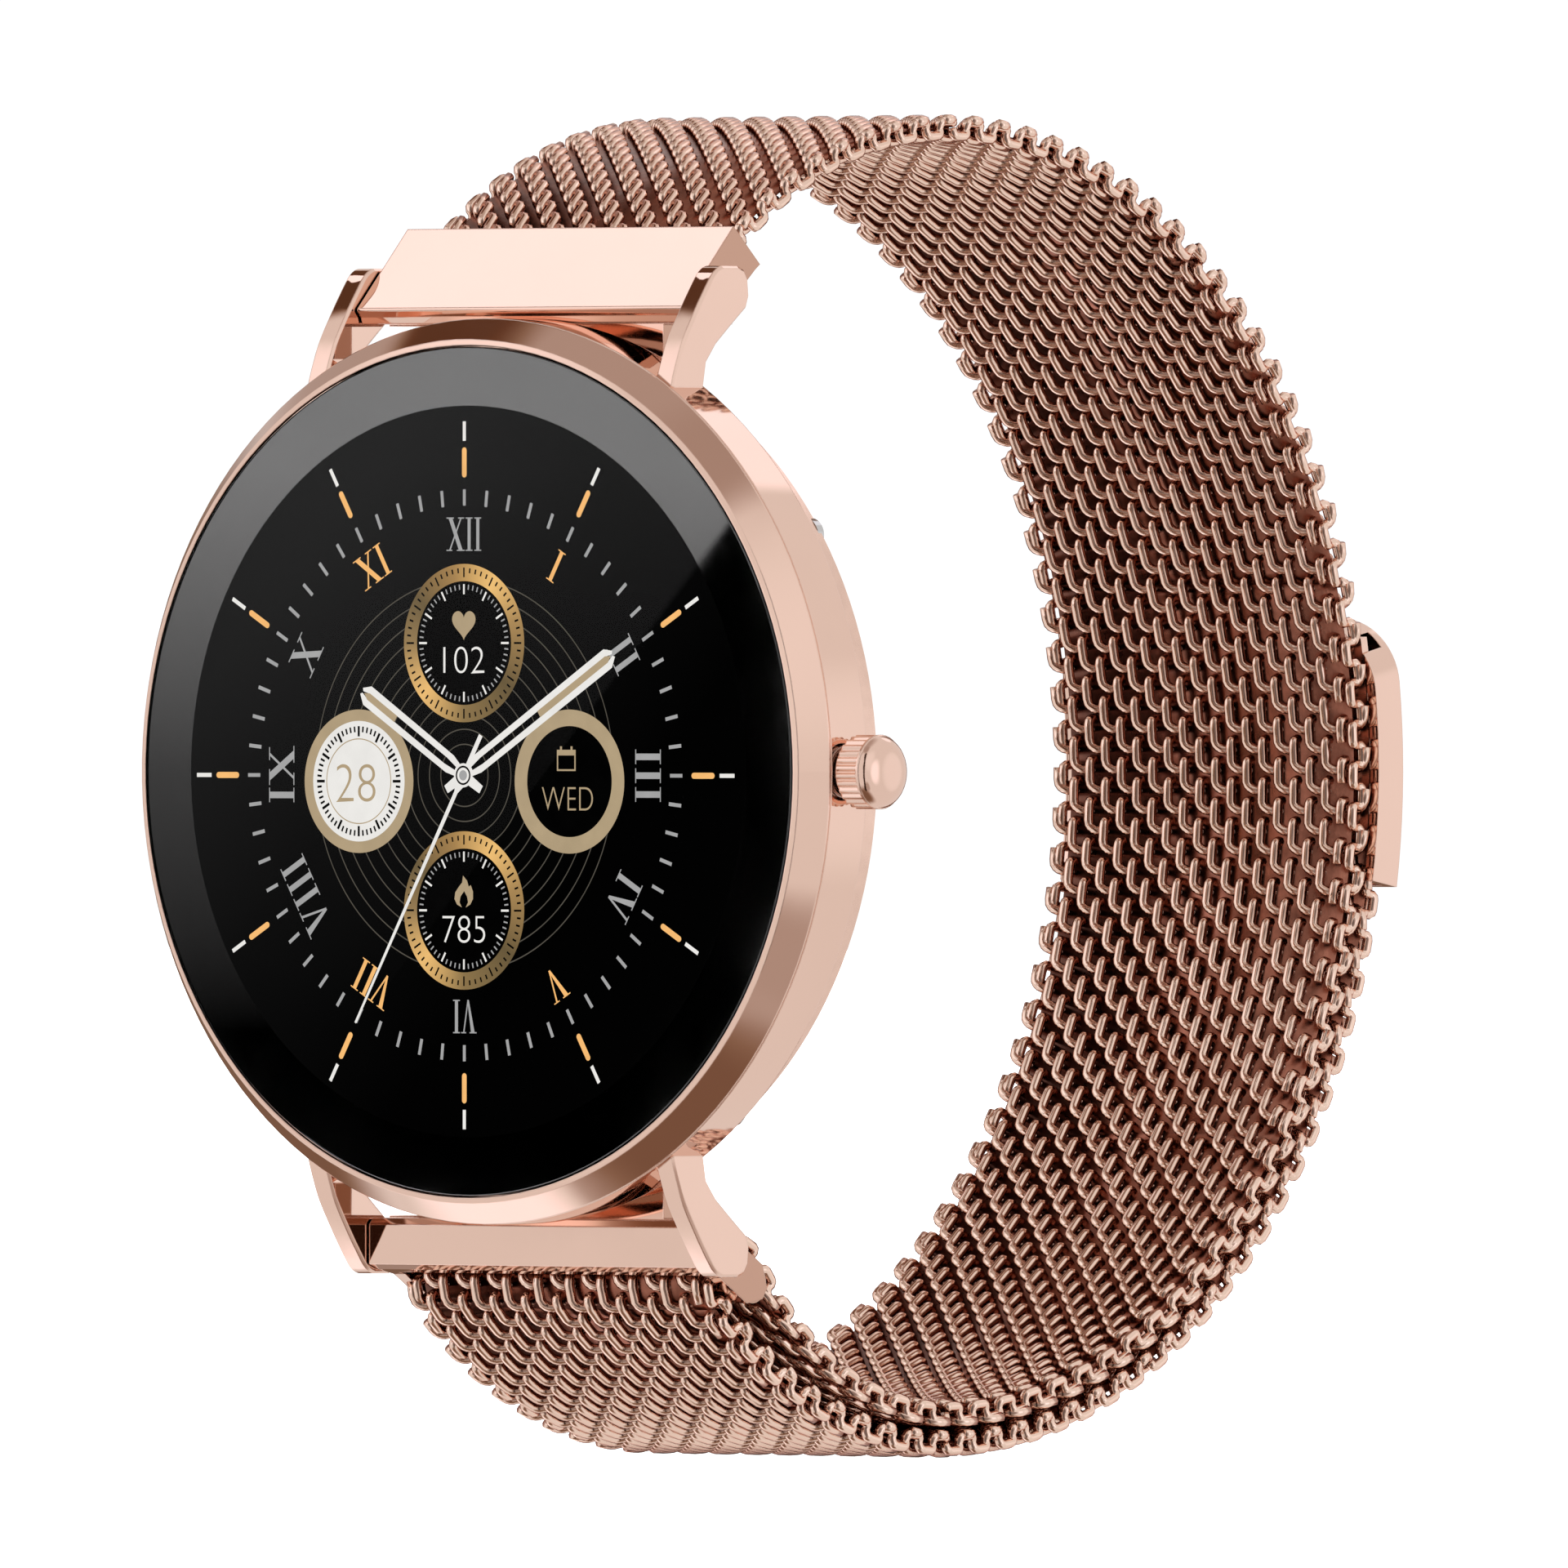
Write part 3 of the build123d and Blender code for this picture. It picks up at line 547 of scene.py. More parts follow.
def woven_piece(name, node, body, rows, start, stop):
    """Real wires in place of one of the frame's plain lengths of mesh."""
    shade_sheet_points, faces = shade_sheet_strip(start, stop)
    vertices, total = [shade_sheet_points * MM], len(shade_sheet_points)
    shade_sheet_faces = len(faces)
    lines = [row_line(number) for number in rows]
    lines += [edge_line(rows, hand) for hand in (1, -1)]
    for line in lines:
        points, quads, caps = tube(line, WIRE, WIRE_SIDES)
        vertices.append(points * MM)
        faces += [[corner + total for corner in face] for face in quads + caps]
        total += len(points)
    mesh = bpy.data.meshes.new(name)
    mesh.from_pydata(np.concatenate(vertices).tolist(), [], faces)
    mesh.shade_smooth()
    mesh.materials.append(rose_wire)
    # the dark sheet of painted shade takes the second material
    mesh.materials.append(weave_shade_sheet)
    for face in mesh.polygons[:shade_sheet_faces]:
        face.material_index = 1
    piece = bpy.data.objects.new(name, mesh)
    scene.collection.objects.link(piece)
    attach(piece, body)
    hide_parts(node)


row_count = int(ARC_STARTS[-1] / ROW)
for index, (node, body, *_) in enumerate(LENGTHS):
    rows = [n for n in range(row_count) if ARC_STARTS[index] <= row_place(n) < ARC_STARTS[index + 1]]
    woven_piece(f"woven_{node}", node, body, rows, ARC_STARTS[index], ARC_STARTS[index + 1])


# ---------------------------------------------------------------- display art
# Shapes are lists of (x, z) points in millimetres about the dial's centre. Angles are in degrees,
# clockwise from 12 o'clock.
MIDDLE = (0.0, 0.0)


def circle(centre, radius, count=96):
    angles = [math.radians(360 * step / count) for step in range(count)]
    return [(centre[0] + radius * math.sin(a), centre[1] + radius * math.cos(a)) for a in angles]


def ring(centre, inner, outer, count=96):
    near, far = circle(centre, inner, count), circle(centre, outer, count)
    return [
        [near[i], near[(i + 1) % count], far[(i + 1) % count], far[i]]
        for i in range(count)
    ]


def turned_shape(shape, angle, centre=MIDDLE):
    """Shape whose +z axis is swung clockwise by an angle in degrees, then moved to a centre."""
    c, s = math.cos(math.radians(angle)), math.sin(math.radians(angle))
    return [(centre[0] + x * c + z * s, centre[1] - x * s + z * c) for x, z in shape]


def box_shape(left, right, low, high):
    return [(left, low), (right, low), (right, high), (left, high)]


def ticks(angles, start, stop, width, centre=MIDDLE):
    """Straight marks round a centre, between two radii."""
    mark = box_shape(-width / 2, width / 2, start, stop)
    return [turned_shape(mark, angle, centre) for angle in angles]


def pills(angles, start, stop, width):
    """Marks with round ends."""
    half = width / 2
    arc = np.linspace(0, math.pi, 9)
    top = [(half * math.cos(a), stop - half + half * math.sin(a)) for a in arc]
    bottom = [(-half * math.cos(a), start + half - half * math.sin(a)) for a in arc]
    return [turned_shape(top + bottom, angle) for angle in angles]


NUMERAL_HEIGHT = 1.55
NUMERAL_FOOT = 10.4  # radius on which the numerals stand
NUMERAL_SQUEEZE = 0.61
SERIF = 0.055


def letter(kind):
    """Strokes of a roman numeral's letter about its middle, and how much width it takes."""
    top = NUMERAL_HEIGHT
    if kind == "I":
        shapes = [
            box_shape(-0.15, 0.15, 0, top),
            box_shape(-0.34, 0.34, 0, SERIF),
            box_shape(-0.34, 0.34, top - SERIF, top),
        ]
        return shapes, 0.87
    if kind == "V":
        shapes = [
            [(-0.62, top), (-0.26, top), (0.13, 0.0), (-0.02, 0.0)],
            [(0.42, top), (0.55, top), (0.11, 0.0), (0.03, 0.12)],
            box_shape(-0.8, -0.1, top - SERIF, top),
            box_shape(0.24, 0.74, top - SERIF, top),
        ]
        return shapes, 1.55
    shapes = [
        [(-0.72, top), (-0.34, top), (0.74, 0.0), (0.36, 0.0)],
        [(0.5, top), (0.64, top), (-0.52, 0.0), (-0.66, 0.0)],
        box_shape(-0.9, -0.16, top - SERIF, top),
        box_shape(0.26, 0.86, top - SERIF, top),
        box_shape(-0.9, -0.32, 0.0, SERIF),
        box_shape(0.14, 0.92, 0.0, SERIF),
    ]
    return shapes, 1.85


def numeral(text, hour):
    """Roman numeral that stands on the dial's centre. Those at 12 and 6 o'clock are the narrowest."""
    angle = hour * 30
    turn = math.radians(angle)
    squeeze = math.hypot(NUMERAL_SQUEEZE * math.cos(turn), math.sin(turn))
    letters = [letter(kind) for kind in text]
    place = -sum(width for _, width in letters) / 2
    shapes = []
    for strokes, width in letters:
        middle = place + width / 2
        shapes += [
            turned_shape([((x + middle) * squeeze, z + NUMERAL_FOOT) for x, z in stroke], angle)
            for stroke in strokes
        ]
        place += width
    return shapes


# The picture on the display sits this far off the middle of the glass, along X and Z.
DISPLAY_MIDDLE = (-0.22, -0.18)

# Its layers, each this deep behind the front of the glass.
GROUND_LAYER = 0.16
CIRCLE_LAYER = 0.15
MARK_LAYER = 0.14
NUMERAL_LAYER = 0.13
DISC_LAYER = 0.12
RING_LAYER = 0.11
RING_MARK_LAYER = 0.10
SYMBOL_LAYER = 0.09
BORDER_LAYER = 0.08
HOUR_HAND_LAYER = 0.08
MINUTE_HAND_LAYER = 0.06
SECOND_HAND_LAYER = 0.04
BOSS_LAYER = 0.03
BOSS_TOP_LAYER = 0.02
INLAY_RISE = 0.01

LETTER_THINNING = -0.018


def display_piece(name, mesh, material):
    mesh.materials.clear()
    mesh.materials.append(material)
    piece = bpy.data.objects.new(name, mesh)
    scene.collection.objects.link(piece)
    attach(piece, "case")


def art(name, shapes, depth, material, offset=DISPLAY_MIDDLE):
    """Flat shapes that lie this deep behind the front of the glass."""
    vertices, faces = [], []
    y = (depth - CASE_DEPTH) * MM
    for shape in shapes:
        area = sum(a[0] * b[1] - b[0] * a[1] for a, b in zip(shape, shape[1:] + shape[:1]))
        points = shape if area > 0 else shape[::-1]
        faces.append(list(range(len(vertices), len(vertices) + len(points))))
        vertices += [((x + offset[0]) * MM, y, (z + offset[1]) * MM) for x, z in points]
    mesh = bpy.data.meshes.new(name)
    mesh.from_pydata(vertices, [], faces)
    display_piece(name, mesh, material)


def lettering(name, text, centre, width, height, material):
    """Digits or letters in the built-in font, fitted to a width and a height."""
    curve = bpy.data.curves.new(name, "FONT")
    curve.body = text
    curve.offset = LETTER_THINNING
    source = bpy.data.objects.new(name, curve)
    scene.collection.objects.link(source)
    bpy.context.view_layer.update()
    depsgraph = bpy.context.evaluated_depsgraph_get()
    mesh = bpy.data.meshes.new_from_object(source.evaluated_get(depsgraph))
    bpy.data.objects.remove(source)
    bpy.data.curves.remove(curve)
    flat = np.array([vertex.co for vertex in mesh.vertices])
    low, high = flat.min(0), flat.max(0)
    for vertex, (x, y, _) in zip(mesh.vertices, flat):
        across = (x - low[0]) / (high[0] - low[0]) - 0.5
        up = (y - low[1]) / (high[1] - low[1]) - 0.5
        vertex.co = (
            (centre[0] + DISPLAY_MIDDLE[0] + across * width) * MM,
            (SYMBOL_LAYER - CASE_DEPTH) * MM,
            (centre[1] + DISPLAY_MIDDLE[1] + up * height) * MM,
        )
    display_piece(name, mesh, material)


def near_tone(colour, change=0.05):
    """Ramp stops a little darker and a little lighter than a colour."""
    return [(0.3, shade(colour, 1 - change)), (0.7, shade(colour, 1 + change))]


def sweep_around(centre):
    """Pattern that goes once from 0 to 1 round a point of the dial."""
    def factor(tree):
        x, z = centre[0] + DISPLAY_MIDDLE[0], centre[1] + DISPLAY_MIDDLE[1]
        vector = object_coordinates(tree, location=(-x * MM, 0, -z * MM))
        swing = tree.nodes.new("ShaderNodeMapping")
        swing.inputs["Rotation"].default_value = (math.radians(-90), 0, 0)
        tree.links.new(vector, swing.inputs["Vector"])
        gradient = tree.nodes.new("ShaderNodeTexGradient")
        gradient.gradient_type = "RADIAL"
        tree.links.new(swing.outputs["Vector"], gradient.inputs["Vector"])
        return gradient.outputs["Fac"]
    return factor


def along_diagonal(tree):
    """Pattern from 0 at the dial's lower right to 1 at its upper left, for the painted sheen on the
    display ground.
    """
    vector = object_coordinates(tree, rotation=(0, math.radians(-45), 0))
    separate = tree.nodes.new("ShaderNodeSeparateXYZ")
    tree.links.new(vector, separate.inputs["Vector"])
    return spread(tree, separate.outputs["X"], 1.0, 0.0, -0.014, 0.008)


WHITE = srgb(236, 234, 230)
GREY = srgb(165, 165, 165)
TAN = srgb(178, 158, 126)
ORANGE = srgb(247, 188, 116)
RING_GREY = srgb(84, 80, 72)
BLACK = srgb(3, 3, 3)

white_lit = lit_material("lit_white", near_tone(WHITE, 0.03))
grey_lit = lit_material("lit_grey", near_tone(GREY))
tan_lit = lit_material("lit_tan", near_tone(TAN))
orange_lit = lit_material("lit_orange", near_tone(ORANGE))
circle_lit = lit_material("lit_circles", near_tone(RING_GREY, 0.12))
black_lit = lit_material("lit_black", near_tone(BLACK, 0.3))
# display ground: near-black glow with a painted sheen, lighter towards the upper left
GROUND_PAINTED_SHEEN = [(0.0, srgb(2, 2, 2)), (0.55, srgb(12, 12, 12)), (1.0, srgb(25, 25, 25))]
ground_lit_with_sheen = lit_material("lit_ground", GROUND_PAINTED_SHEEN, along_diagonal)
GOLD_SWEEP = [
    (0.0, srgb(150, 124, 84)),
    (0.12, srgb(238, 190, 118)),
    (0.25, srgb(140, 116, 76)),
    (0.40, srgb(104, 88, 60)),
    (0.55, srgb(170, 136, 86)),
    (0.66, srgb(240, 192, 118)),
    (0.78, srgb(166, 130, 80)),
    (0.90, srgb(108, 92, 64)),
    (1.0, srgb(150, 124, 84)),
]
TOP_DIAL, BOTTOM_DIAL = (0, 6.13), (0, -6.26)
LEFT_DIAL, RIGHT_DIAL = (-6.43, -0.28), (6.42, -0.28)
gold_top = lit_material("lit_gold_top", GOLD_SWEEP, sweep_around(TOP_DIAL))
gold_bottom = lit_material("lit_gold_bottom", GOLD_SWEEP, sweep_around(BOTTOM_DIAL))
border_ink = finish_material(
    "border_ink",
    (0.21, 0.21, 0.21),
    0.02,
    1.0,
    vary=0.03,
    rough_vary=0.015,
    colour_scale=60,
    grain=0.0,
)

# Radii, then width, of each kind of mark.
BORDER = (16.95, 19.64)
GROUND_RADIUS = 17.3
HOUR_LINE = (15.5, 16.4, 0.19)
HOUR_PILL = (13.8, 15.2, 0.28)
MINUTE_MARK = (12.5, 13.25, 0.17)
CIRCLE_RADII = np.linspace(1.44, 9.1, 12)
CIRCLE_HALF = 0.028
ROUND_STEPS = 160
CIRCLE_STEPS = 128
HOUR_ANGLES = [30 * hour for hour in range(12)]
MINUTE_ANGLES = [6 * minute for minute in range(60)]
ODD_MINUTE_ANGLES = [angle for angle in MINUTE_ANGLES if angle % 30]

art("display_border", ring(MIDDLE, *BORDER, ROUND_STEPS), BORDER_LAYER, border_ink, offset=(0, 0))
art("display_ground", [circle(MIDDLE, GROUND_RADIUS, ROUND_STEPS)], GROUND_LAYER, ground_lit_with_sheen)
dial_circles = [ring(MIDDLE, r - CIRCLE_HALF, r + CIRCLE_HALF, CIRCLE_STEPS) for r in CIRCLE_RADII]
art("dial_circles", sum(dial_circles, []), CIRCLE_LAYER, circle_lit)
art("hour_lines", ticks(HOUR_ANGLES, *HOUR_LINE), MARK_LAYER, white_lit)
art("hour_pills", pills(HOUR_ANGLES, *HOUR_PILL), MARK_LAYER, orange_lit)
art("minute_marks", ticks(MINUTE_ANGLES, *MINUTE_MARK), MARK_LAYER, grey_lit)

HOURS = ("XII", "I", "II", "III", "IV", "V", "VI", "VII", "VIII", "IX", "X", "XI")
ORANGE_HOURS = (1, 5, 7, 11)
grey_shapes = [s for h, text in enumerate(HOURS) if h not in ORANGE_HOURS for s in numeral(text, h)]
orange_shapes = [s for h, text in enumerate(HOURS) if h in ORANGE_HOURS for s in numeral(text, h)]
art("numerals_grey", grey_shapes, NUMERAL_LAYER, grey_lit)
art("numerals_orange", orange_shapes, NUMERAL_LAYER, orange_lit)

GOLD_DISC = 3.0
GOLD_RING = (2.87, 3.67)
GOLD_RING_MINUTE = (3.25, 3.48, 0.09)
GOLD_RING_HOUR = (3.05, 3.5, 0.09)
GOLD_DISC_MINUTE = (2.48, 2.72, 0.07)
GOLD_DISC_HOUR = (2.26, 2.73, 0.1)
for label, centre, gold in (("top", TOP_DIAL, gold_top), ("bottom", BOTTOM_DIAL, gold_bottom)):
    art(f"{label}_dial_face", [circle(centre, GOLD_DISC)], DISC_LAYER, black_lit)
    art(f"{label}_dial_ring", ring(centre, *GOLD_RING), RING_LAYER, gold)
    marks = ticks(ODD_MINUTE_ANGLES, *GOLD_RING_MINUTE, centre)
    marks += ticks(HOUR_ANGLES, *GOLD_RING_HOUR, centre)
    art(f"{label}_dial_ring_marks", marks, RING_MARK_LAYER, black_lit)
    minutes = ticks(ODD_MINUTE_ANGLES, *GOLD_DISC_MINUTE, centre)
    art(f"{label}_dial_minutes", minutes, RING_MARK_LAYER, grey_lit)
    hours = ticks(HOUR_ANGLES, *GOLD_DISC_HOUR, centre)
    art(f"{label}_dial_hours", hours, RING_MARK_LAYER, white_lit)

LEFT_DISC = 2.8
LEFT_RING = (2.7, 3.33)
LEFT_MINUTE = (2.28, 2.55, 0.1)
LEFT_HOUR = (2.08, 2.56, 0.13)
LEFT_CIRCLE = (1.94, 1.99)
art("left_dial_ring", ring(LEFT_DIAL, *LEFT_RING), DISC_LAYER, tan_lit)
art("left_dial_face", [circle(LEFT_DIAL, LEFT_DISC)], RING_LAYER, white_lit)
left_marks = ticks(ODD_MINUTE_ANGLES, *LEFT_MINUTE, LEFT_DIAL)
left_marks += ticks(HOUR_ANGLES, *LEFT_HOUR, LEFT_DIAL)
art("left_dial_marks", left_marks, RING_MARK_LAYER, black_lit)
art("left_dial_circle", ring(LEFT_DIAL, *LEFT_CIRCLE), RING_MARK_LAYER, tan_lit)

RIGHT_DISC = 2.7
RIGHT_RING = (2.57, 3.33)
art("right_dial_face", [circle(RIGHT_DIAL, RIGHT_DISC)], DISC_LAYER, black_lit)
art("right_dial_ring", ring(RIGHT_DIAL, *RIGHT_RING), RING_LAYER, tan_lit)

lettering("heart_number", "102", (0, 5.34), 2.5, 1.24, white_lit)
lettering("energy_number", "785", (0, -7.13), 2.6, 1.26, white_lit)
lettering("day_number", "28", (-6.6, -0.37), 2.4, 1.76, tan_lit)
lettering("day_name", "WED", (6.31, -1.08), 3.1, 1.08, tan_lit)


def symbol(name, shapes, centre):
    """Small tan sign about a centre."""
    moved = [[(x + centre[0], z + centre[1]) for x, z in shape] for shape in shapes]
    art(name, moved, SYMBOL_LAYER, tan_lit)


HEART_HALF = 0.7168
HEART_SCALE = 0.047
HEART = [
    (
        HEART_HALF * math.sin(a) ** 3,
        HEART_SCALE
        * (13 * math.cos(a) - 5 * math.cos(2 * a) - 2 * math.cos(3 * a) - math.cos(4 * a)),
    )
    for a in np.linspace(0, 2 * math.pi, 48, endpoint=False)
]
FLAME = [
    (-0.05, 0.74), (0.2, 0.5), (0.3, 0.22), (0.42, 0.3), (0.56, 0.0), (0.56, -0.34), (0.4, -0.6),
    (0.12, -0.74), (0.26, -0.5), (0.2, -0.24), (0.02, 0.02), (-0.2, -0.24), (-0.26, -0.5),
    (-0.12, -0.74), (-0.42, -0.6), (-0.57, -0.34), (-0.52, -0.04), (-0.3, 0.22), (-0.1, 0.42),
]
CALENDAR = [
    box_shape(-0.57, 0.57, 0.16, 0.42),
    box_shape(-0.57, -0.49, -0.5, 0.16),
    box_shape(0.49, 0.57, -0.5, 0.16),
    box_shape(-0.57, 0.57, -0.56, -0.48),
    box_shape(-0.38, -0.26, 0.36, 0.58),
    box_shape(0.26, 0.38, 0.36, 0.58),
]
symbol("heart_icon", [HEART], (0, 7.05))
symbol("flame_icon", [FLAME], (0, -5.38))
symbol("calendar_icon", CALENDAR, (6.24, 0.77))


HAND_START = 0.4
SLOT_START = 1.3


def hand_shapes(tip, inlay_start):
    """Rails of a baton hand that points to tip, and its inlay."""
    length = math.hypot(*tip)
    angle = math.degrees(math.atan2(tip[0], tip[1]))
    rails = []
    for side in (1, -1):
        rails.append([
            (side * 0.06, HAND_START),
            (side * 0.16, SLOT_START),
            (side * 0.16, length - 0.55),
            (side * 0.04, length - 0.1),
            (side * 0.16, length),
            (side * 0.5, length - 0.42),
            (side * 0.46, 1.0),
            (side * 0.3, HAND_START),
        ])
    rails.append([(-0.2, -1.25), (0.2, -1.25), (0.3, 0.6), (-0.3, 0.6)])
    inlay = [
        (-0.17, inlay_start), (0.17, inlay_start),
        (0.17, length - 0.5), (0.0, length - 0.2), (-0.17, length - 0.5),
    ]
    return [turned_shape(rail, angle) for rail in rails], [turned_shape(inlay, angle)]


HANDS = (
    ("hour", (-6.24, 3.92), 4.9, HOUR_HAND_LAYER),
    ("minute", (9.13, 5.63), 5.4, MINUTE_HAND_LAYER),
)
for label, tip, inlay_start, depth in HANDS:
    rails, inlay = hand_shapes(tip, inlay_start)
    art(f"{label}_hand", rails, depth, white_lit)
    art(f"{label}_hand_inlay", inlay, depth - INLAY_RISE, tan_lit)

SECOND_TIP, SECOND_TAIL = Vector((-6.6, -11.5)), Vector((1.0, 1.9))
second_angle = math.degrees(math.atan2(SECOND_TIP.x, SECOND_TIP.y))
second_shape = [
    (-0.06, SECOND_TIP.length), (0.06, SECOND_TIP.length), (0.11, 0.9), (0.3, 0.4), (0.12, -0.5),
    (0.12, -SECOND_TAIL.length), (-0.12, -SECOND_TAIL.length), (-0.12, -0.5), (-0.3, 0.4),
    (-0.11, 0.9),
]
art("second_hand", [turned_shape(second_shape, second_angle)], SECOND_HAND_LAYER, white_lit)
art("hand_boss", [circle(MIDDLE, 0.56, 48)], BOSS_LAYER, white_lit)
art("hand_boss_ring", ring(MIDDLE, 0.36, 0.45, 48), BOSS_TOP_LAYER, black_lit)
art("hand_boss_centre", [circle(MIDDLE, 0.24, 32)], BOSS_TOP_LAYER, grey_lit)


# ---------------------------------------------------------------- floor, light and surroundings
# A light tent round the watch, seen only in reflections: soft boxes and dark flags are patches of
# it, each a direction, the angles at its edge's start and end, and its brightness. Later patches
# lie over earlier ones.
TENT_RADIUS = 0.6
TENT_BASE = 0.80
TENT_STRENGTH = 1.3
STRIP_X, STRIP_Y = 0.645, -0.764
STRIP_RISES = range(-48, 49, 8)
PATCHES = [
    ((-0.20, -0.10, 0.97), 14, 42, 0.46),
    ((0.26, -0.33, 0.91), 4, 16, 0.42),
    ((-0.90, 0.42, 0.05), 12, 34, 0.58),
    ((0.12, -0.28, -0.95), 12, 38, 0.20),
    ((0.66, -0.45, -0.60), 5, 16, 0.46),
    ((-0.80, 0.55, -0.22), 14, 27, 0.20),
    ((-0.56, 0.76, -0.32), 6, 14, 0.20),
    ((-0.60, 0.02, -0.80), 8, 20, 1.25),
    ((-0.62, 0.24, 0.75), 9, 21, 0.11),
    ((-0.80, 0.40, 0.45), 5, 14, 0.45),
    ((-0.645, -0.19, 0.74), 8, 10, 0.10),
    ((-0.645, -0.50, 0.58), 14, 15.5, 0.78),
    ((-0.645, -0.66, 0.38), 7, 24, 1.15),
    ((-0.645, -0.03, 0.763), 5.5, 6.2, 1.30),
    ((0.00, 0.76, 0.65), 8, 11, 1.20),
    ((0.85, -0.30, 0.43), 8, 30, 0.92),
    ((0.98, 0.12, 0.0), 8, 22, 1.2),
    ((0.65, 0.76, 0.0), 8, 20, 0.93),
    ((-0.25, -0.97, 0.05), 8, 24, 1.25),
]
# The dark upright strip that the camera stands in.
for rise in map(math.radians, STRIP_RISES):
    direction = (STRIP_X * math.cos(rise), STRIP_Y * math.cos(rise), math.sin(rise))
    PATCHES.append((direction, 4, 7, 0.02))


def direction_patch(tree, vector, direction, inner, outer):
    """1 within inner degrees of a direction, and 0 beyond outer degrees."""
    dot = tree.nodes.new("ShaderNodeVectorMath")
    dot.operation = "DOT_PRODUCT"
    dot.inputs[1].default_value = Vector(direction).normalized()
    tree.links.new(vector, dot.inputs[0])
    edge = tree.nodes.new("ShaderNodeMapRange")
    edge.interpolation_type = "SMOOTHSTEP"
    edge.inputs["From Min"].default_value = math.cos(math.radians(outer))
    edge.inputs["From Max"].default_value = math.cos(math.radians(inner))
    tree.links.new(dot.outputs["Value"], edge.inputs["Value"])
    return edge.outputs["Result"]


def emission_material(name):
    """A material that only glows, its node tree, its emission node and its output."""
    material = bpy.data.materials.new(name)
    material.use_nodes = True
    tree = material.node_tree
    tree.nodes.clear()
    output = tree.nodes.new("ShaderNodeOutputMaterial")
    emission = tree.nodes.new("ShaderNodeEmission")
    tree.links.new(emission.outputs["Emission"], output.inputs["Surface"])
    return material, tree, emission, output


def stage_piece(name, mesh, hidden=True):
    """Part of the set; hidden ones light the watch and show in reflections only."""
    piece = bpy.data.objects.new(name, mesh)
    piece.visible_camera = not hidden
    piece.visible_shadow = not hidden
    scene.collection.objects.link(piece)
    return piece


def light_tent():
    """Glowing ball round the watch, with the patches."""
    material, tree, emission, _ = emission_material("tent")
    coordinates = tree.nodes.new("ShaderNodeTexCoord")
    unit = tree.nodes.new("ShaderNodeVectorMath")
    unit.operation = "NORMALIZE"
    tree.links.new(coordinates.outputs["Object"], unit.inputs[0])
    level = None
    for direction, inner, outer, brightness in PATCHES:
        mix = tree.nodes.new("ShaderNodeMix")
        mix.inputs["A"].default_value = TENT_BASE
        mix.inputs["B"].default_value = brightness
        if level:
            tree.links.new(level, mix.inputs["A"])
        patch = direction_patch(tree, unit.outputs["Vector"], direction, inner, outer)
        tree.links.new(patch, mix.inputs["Factor"])
        level = mix.outputs["Result"]
    tint = ramp(tree, spread(tree, level, 0.0, 1.0, 0.0, TENT_STRENGTH), [
        (0.0, (0.0, 0.0, 0.0)),
        (0.10, (0.10, 0.045, 0.024)),
        (0.20, (0.20, 0.130, 0.092)),
        (0.30, (0.30, 0.235, 0.205)),
        (0.67, (0.67, 0.665, 0.665)),
        (1.0, (1.0, 0.965, 1.03)),
    ])
    tree.links.new(tint, emission.inputs["Color"])
    emission.inputs["Strength"].default_value = TENT_STRENGTH
    mesh = bpy.data.meshes.new("tent")
    shell = bmesh.new()
    bmesh.ops.create_icosphere(shell, subdivisions=4, radius=TENT_RADIUS)
    bmesh.ops.reverse_faces(shell, faces=shell.faces)
    shell.to_mesh(mesh)
    shell.free()
    mesh.materials.append(material)
    stage_piece("tent", mesh)


# Lengths of the flag and of its fades are in metres.
FLAG_WIDTH, FLAG_HEIGHT = 0.0164, 0.0212  # half of each
FLAG_DISTANCE = 0.12
FLAG_STEPS = 96
FLAG_FADE = (-0.0127, 0.0150)
FLAG_SLOPE = -1.348
FLAG_CUT = (-0.0053, -0.0048)


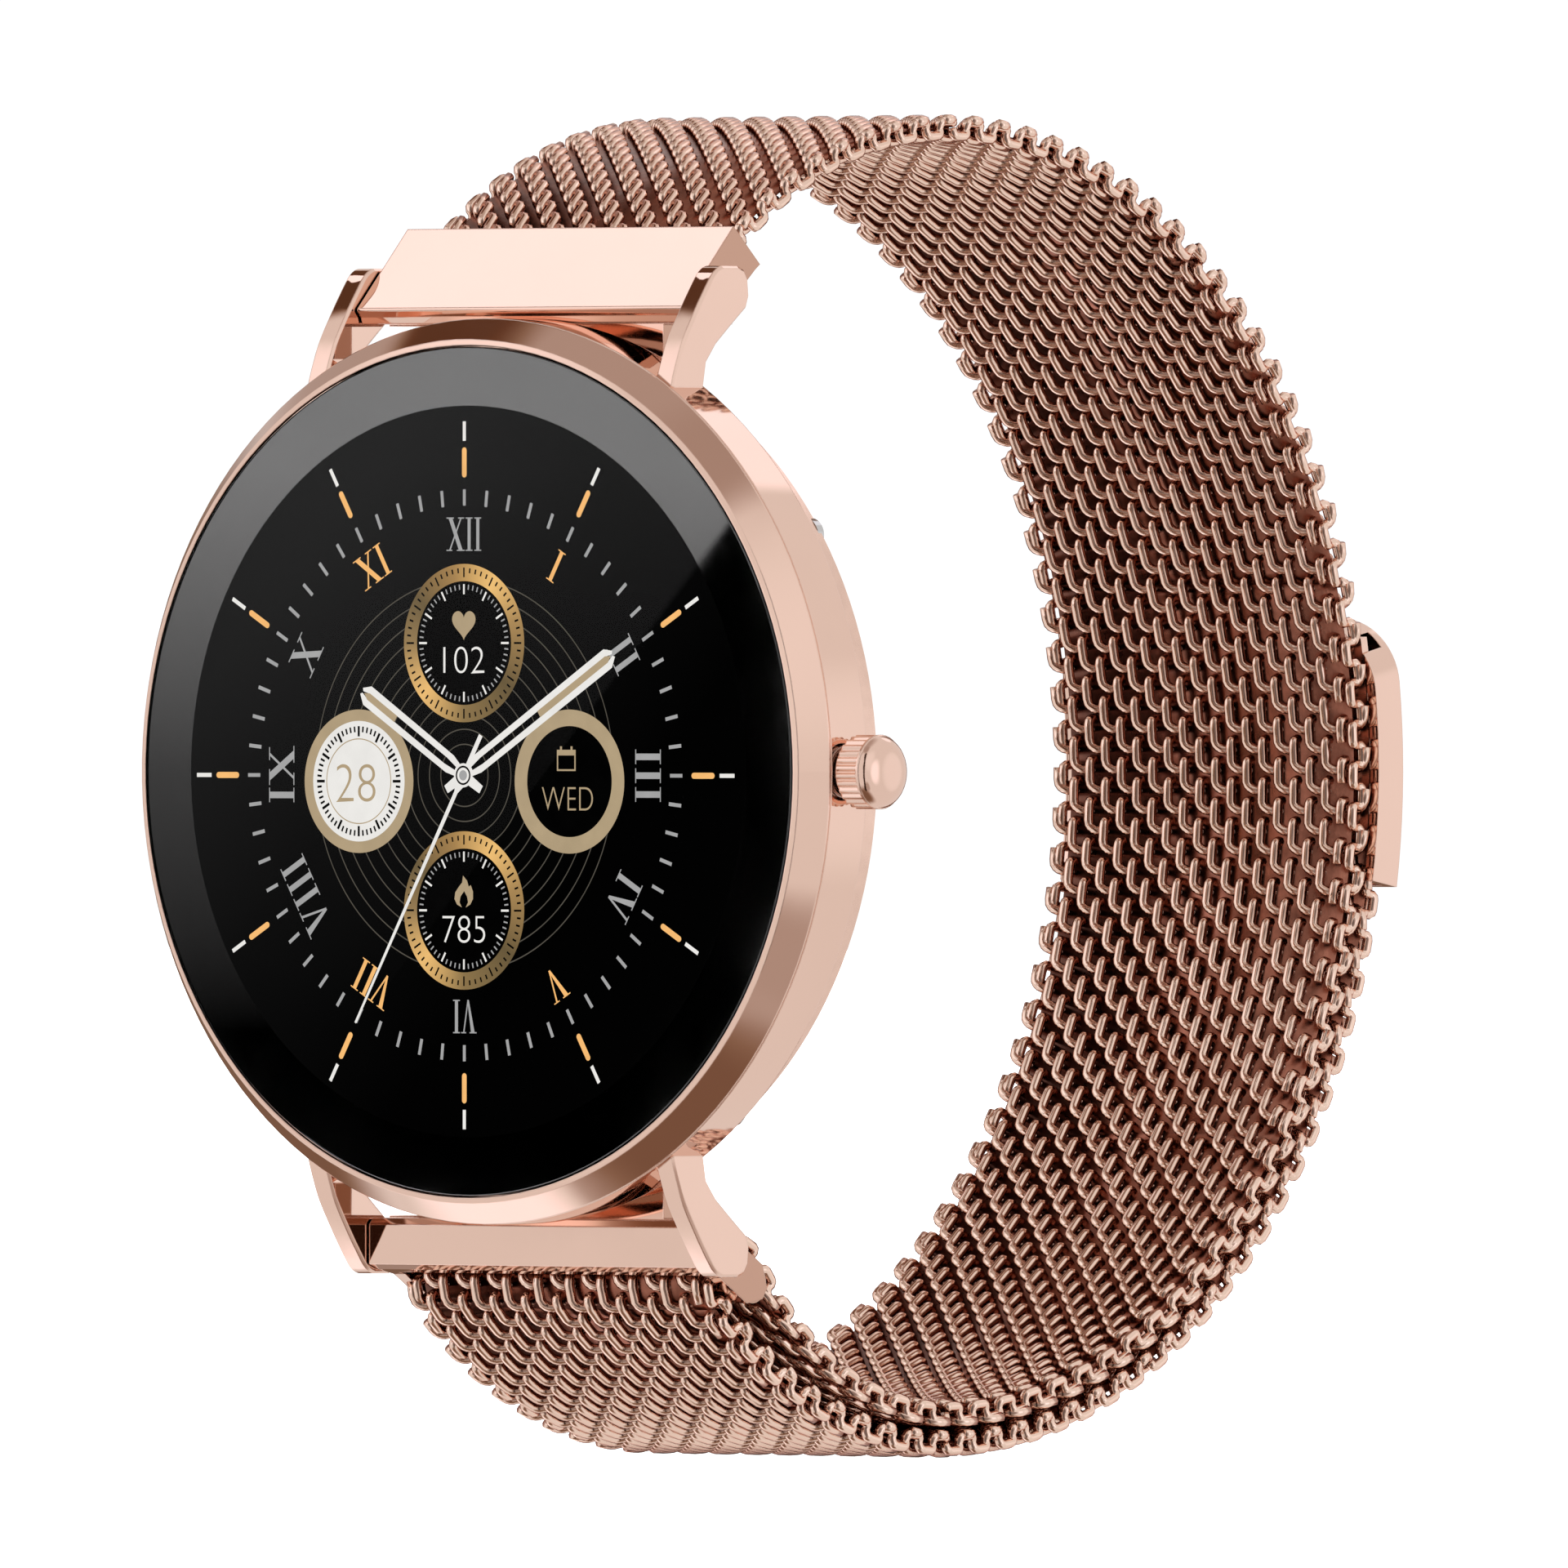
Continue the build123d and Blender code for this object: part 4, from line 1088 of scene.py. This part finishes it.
def glass_flag():
    """Dark flag in front of the glass, so that only the top left of the border catches the light."""
    material, tree, emission, output = emission_material("glass_flag")
    emission.inputs["Color"].default_value = (0.0, 0.0, 0.0, 1)
    clear = tree.nodes.new("ShaderNodeBsdfTransparent")
    mix = tree.nodes.new("ShaderNodeMixShader")
    tree.links.new(clear.outputs["BSDF"], mix.inputs[1])
    tree.links.new(emission.outputs["Emission"], mix.inputs[2])
    tree.links.new(mix.outputs["Shader"], output.inputs["Surface"])
    coordinates = tree.nodes.new("ShaderNodeTexCoord")
    separate = tree.nodes.new("ShaderNodeSeparateXYZ")
    tree.links.new(coordinates.outputs["Object"], separate.inputs["Vector"])
    height = spread(tree, separate.outputs["Y"], 0.0, 1.0, *FLAG_FADE)
    fade = ramp(tree, height, [(0.0, NO_TINT), (0.46, (0.74, 0.74, 0.74)), (1.0, (0.0, 0.0, 0.0))])
    slope = tree.nodes.new("ShaderNodeMath")
    slope.operation = "MULTIPLY_ADD"
    slope.inputs[1].default_value = FLAG_SLOPE
    tree.links.new(separate.outputs["X"], slope.inputs[0])
    tree.links.new(separate.outputs["Y"], slope.inputs[2])
    edge = spread(tree, slope.outputs["Value"], 1.0, 0.0, *FLAG_CUT)
    darkest = tree.nodes.new("ShaderNodeMath")
    darkest.operation = "MAXIMUM"
    tree.links.new(fade, darkest.inputs[0])
    tree.links.new(edge, darkest.inputs[1])
    tree.links.new(darkest.outputs["Value"], mix.inputs["Fac"])
    mesh = bpy.data.meshes.new("glass_flag")
    around = np.linspace(0, 2 * math.pi, FLAG_STEPS + 1)[:-1]
    rim = [(FLAG_WIDTH * math.cos(a), FLAG_HEIGHT * math.sin(a), 0.0) for a in around]
    mesh.from_pydata(rim, [], [list(range(len(rim)))])
    mesh.materials.append(material)
    piece = stage_piece("glass_flag", mesh)
    glass_centre = Vector((0.0, -CASE_DEPTH * MM, 0.0))
    sight = (camera.location - glass_centre).normalized()
    mirrored = Vector((-sight.x, sight.y, -sight.z))
    piece.location = glass_centre + mirrored * FLAG_DISTANCE
    across_axis = Vector((-mirrored.y, mirrored.x, 0.0)).normalized()
    up_axis = mirrored.cross(across_axis).normalized()
    turn = Matrix((across_axis, up_axis, mirrored)).transposed()
    piece.rotation_euler = turn.to_euler()


FLOOR_HALF = 3
FLOOR_GAP = 0.0003
floor_material = finish_material(
    "floor", (0.93, 0.93, 0.925), 0.6, vary=0.006, grain=0.0, colour_scale=3
)
floor_shader = floor_material.node_tree.nodes["Principled BSDF"]
floor_shader.inputs["Emission Color"].default_value = (1.0, 1.0, 1.0, 1)
floor_shader.inputs["Emission Strength"].default_value = 1.0
floor_mesh = bpy.data.meshes.new("floor")
floor_z = cad_low.z - FLOOR_GAP
floor_corners = [
    (x * FLOOR_HALF, y * FLOOR_HALF, floor_z) for x, y in ((-1, -1), (1, -1), (1, 1), (-1, 1))
]
floor_mesh.from_pydata(floor_corners, [], [(0, 1, 2, 3)])
floor_mesh.materials.append(floor_material)
floor = stage_piece("floor", floor_mesh, hidden=False)
floor.visible_glossy = False

world = bpy.data.worlds.new("studio")
world.use_nodes = True
background = world.node_tree.nodes["Background"]
background.inputs["Color"].default_value = (1.0, 1.0, 1.0, 1)
background.inputs["Strength"].default_value = 1.05
scene.world = world
light_tent()
glass_flag()
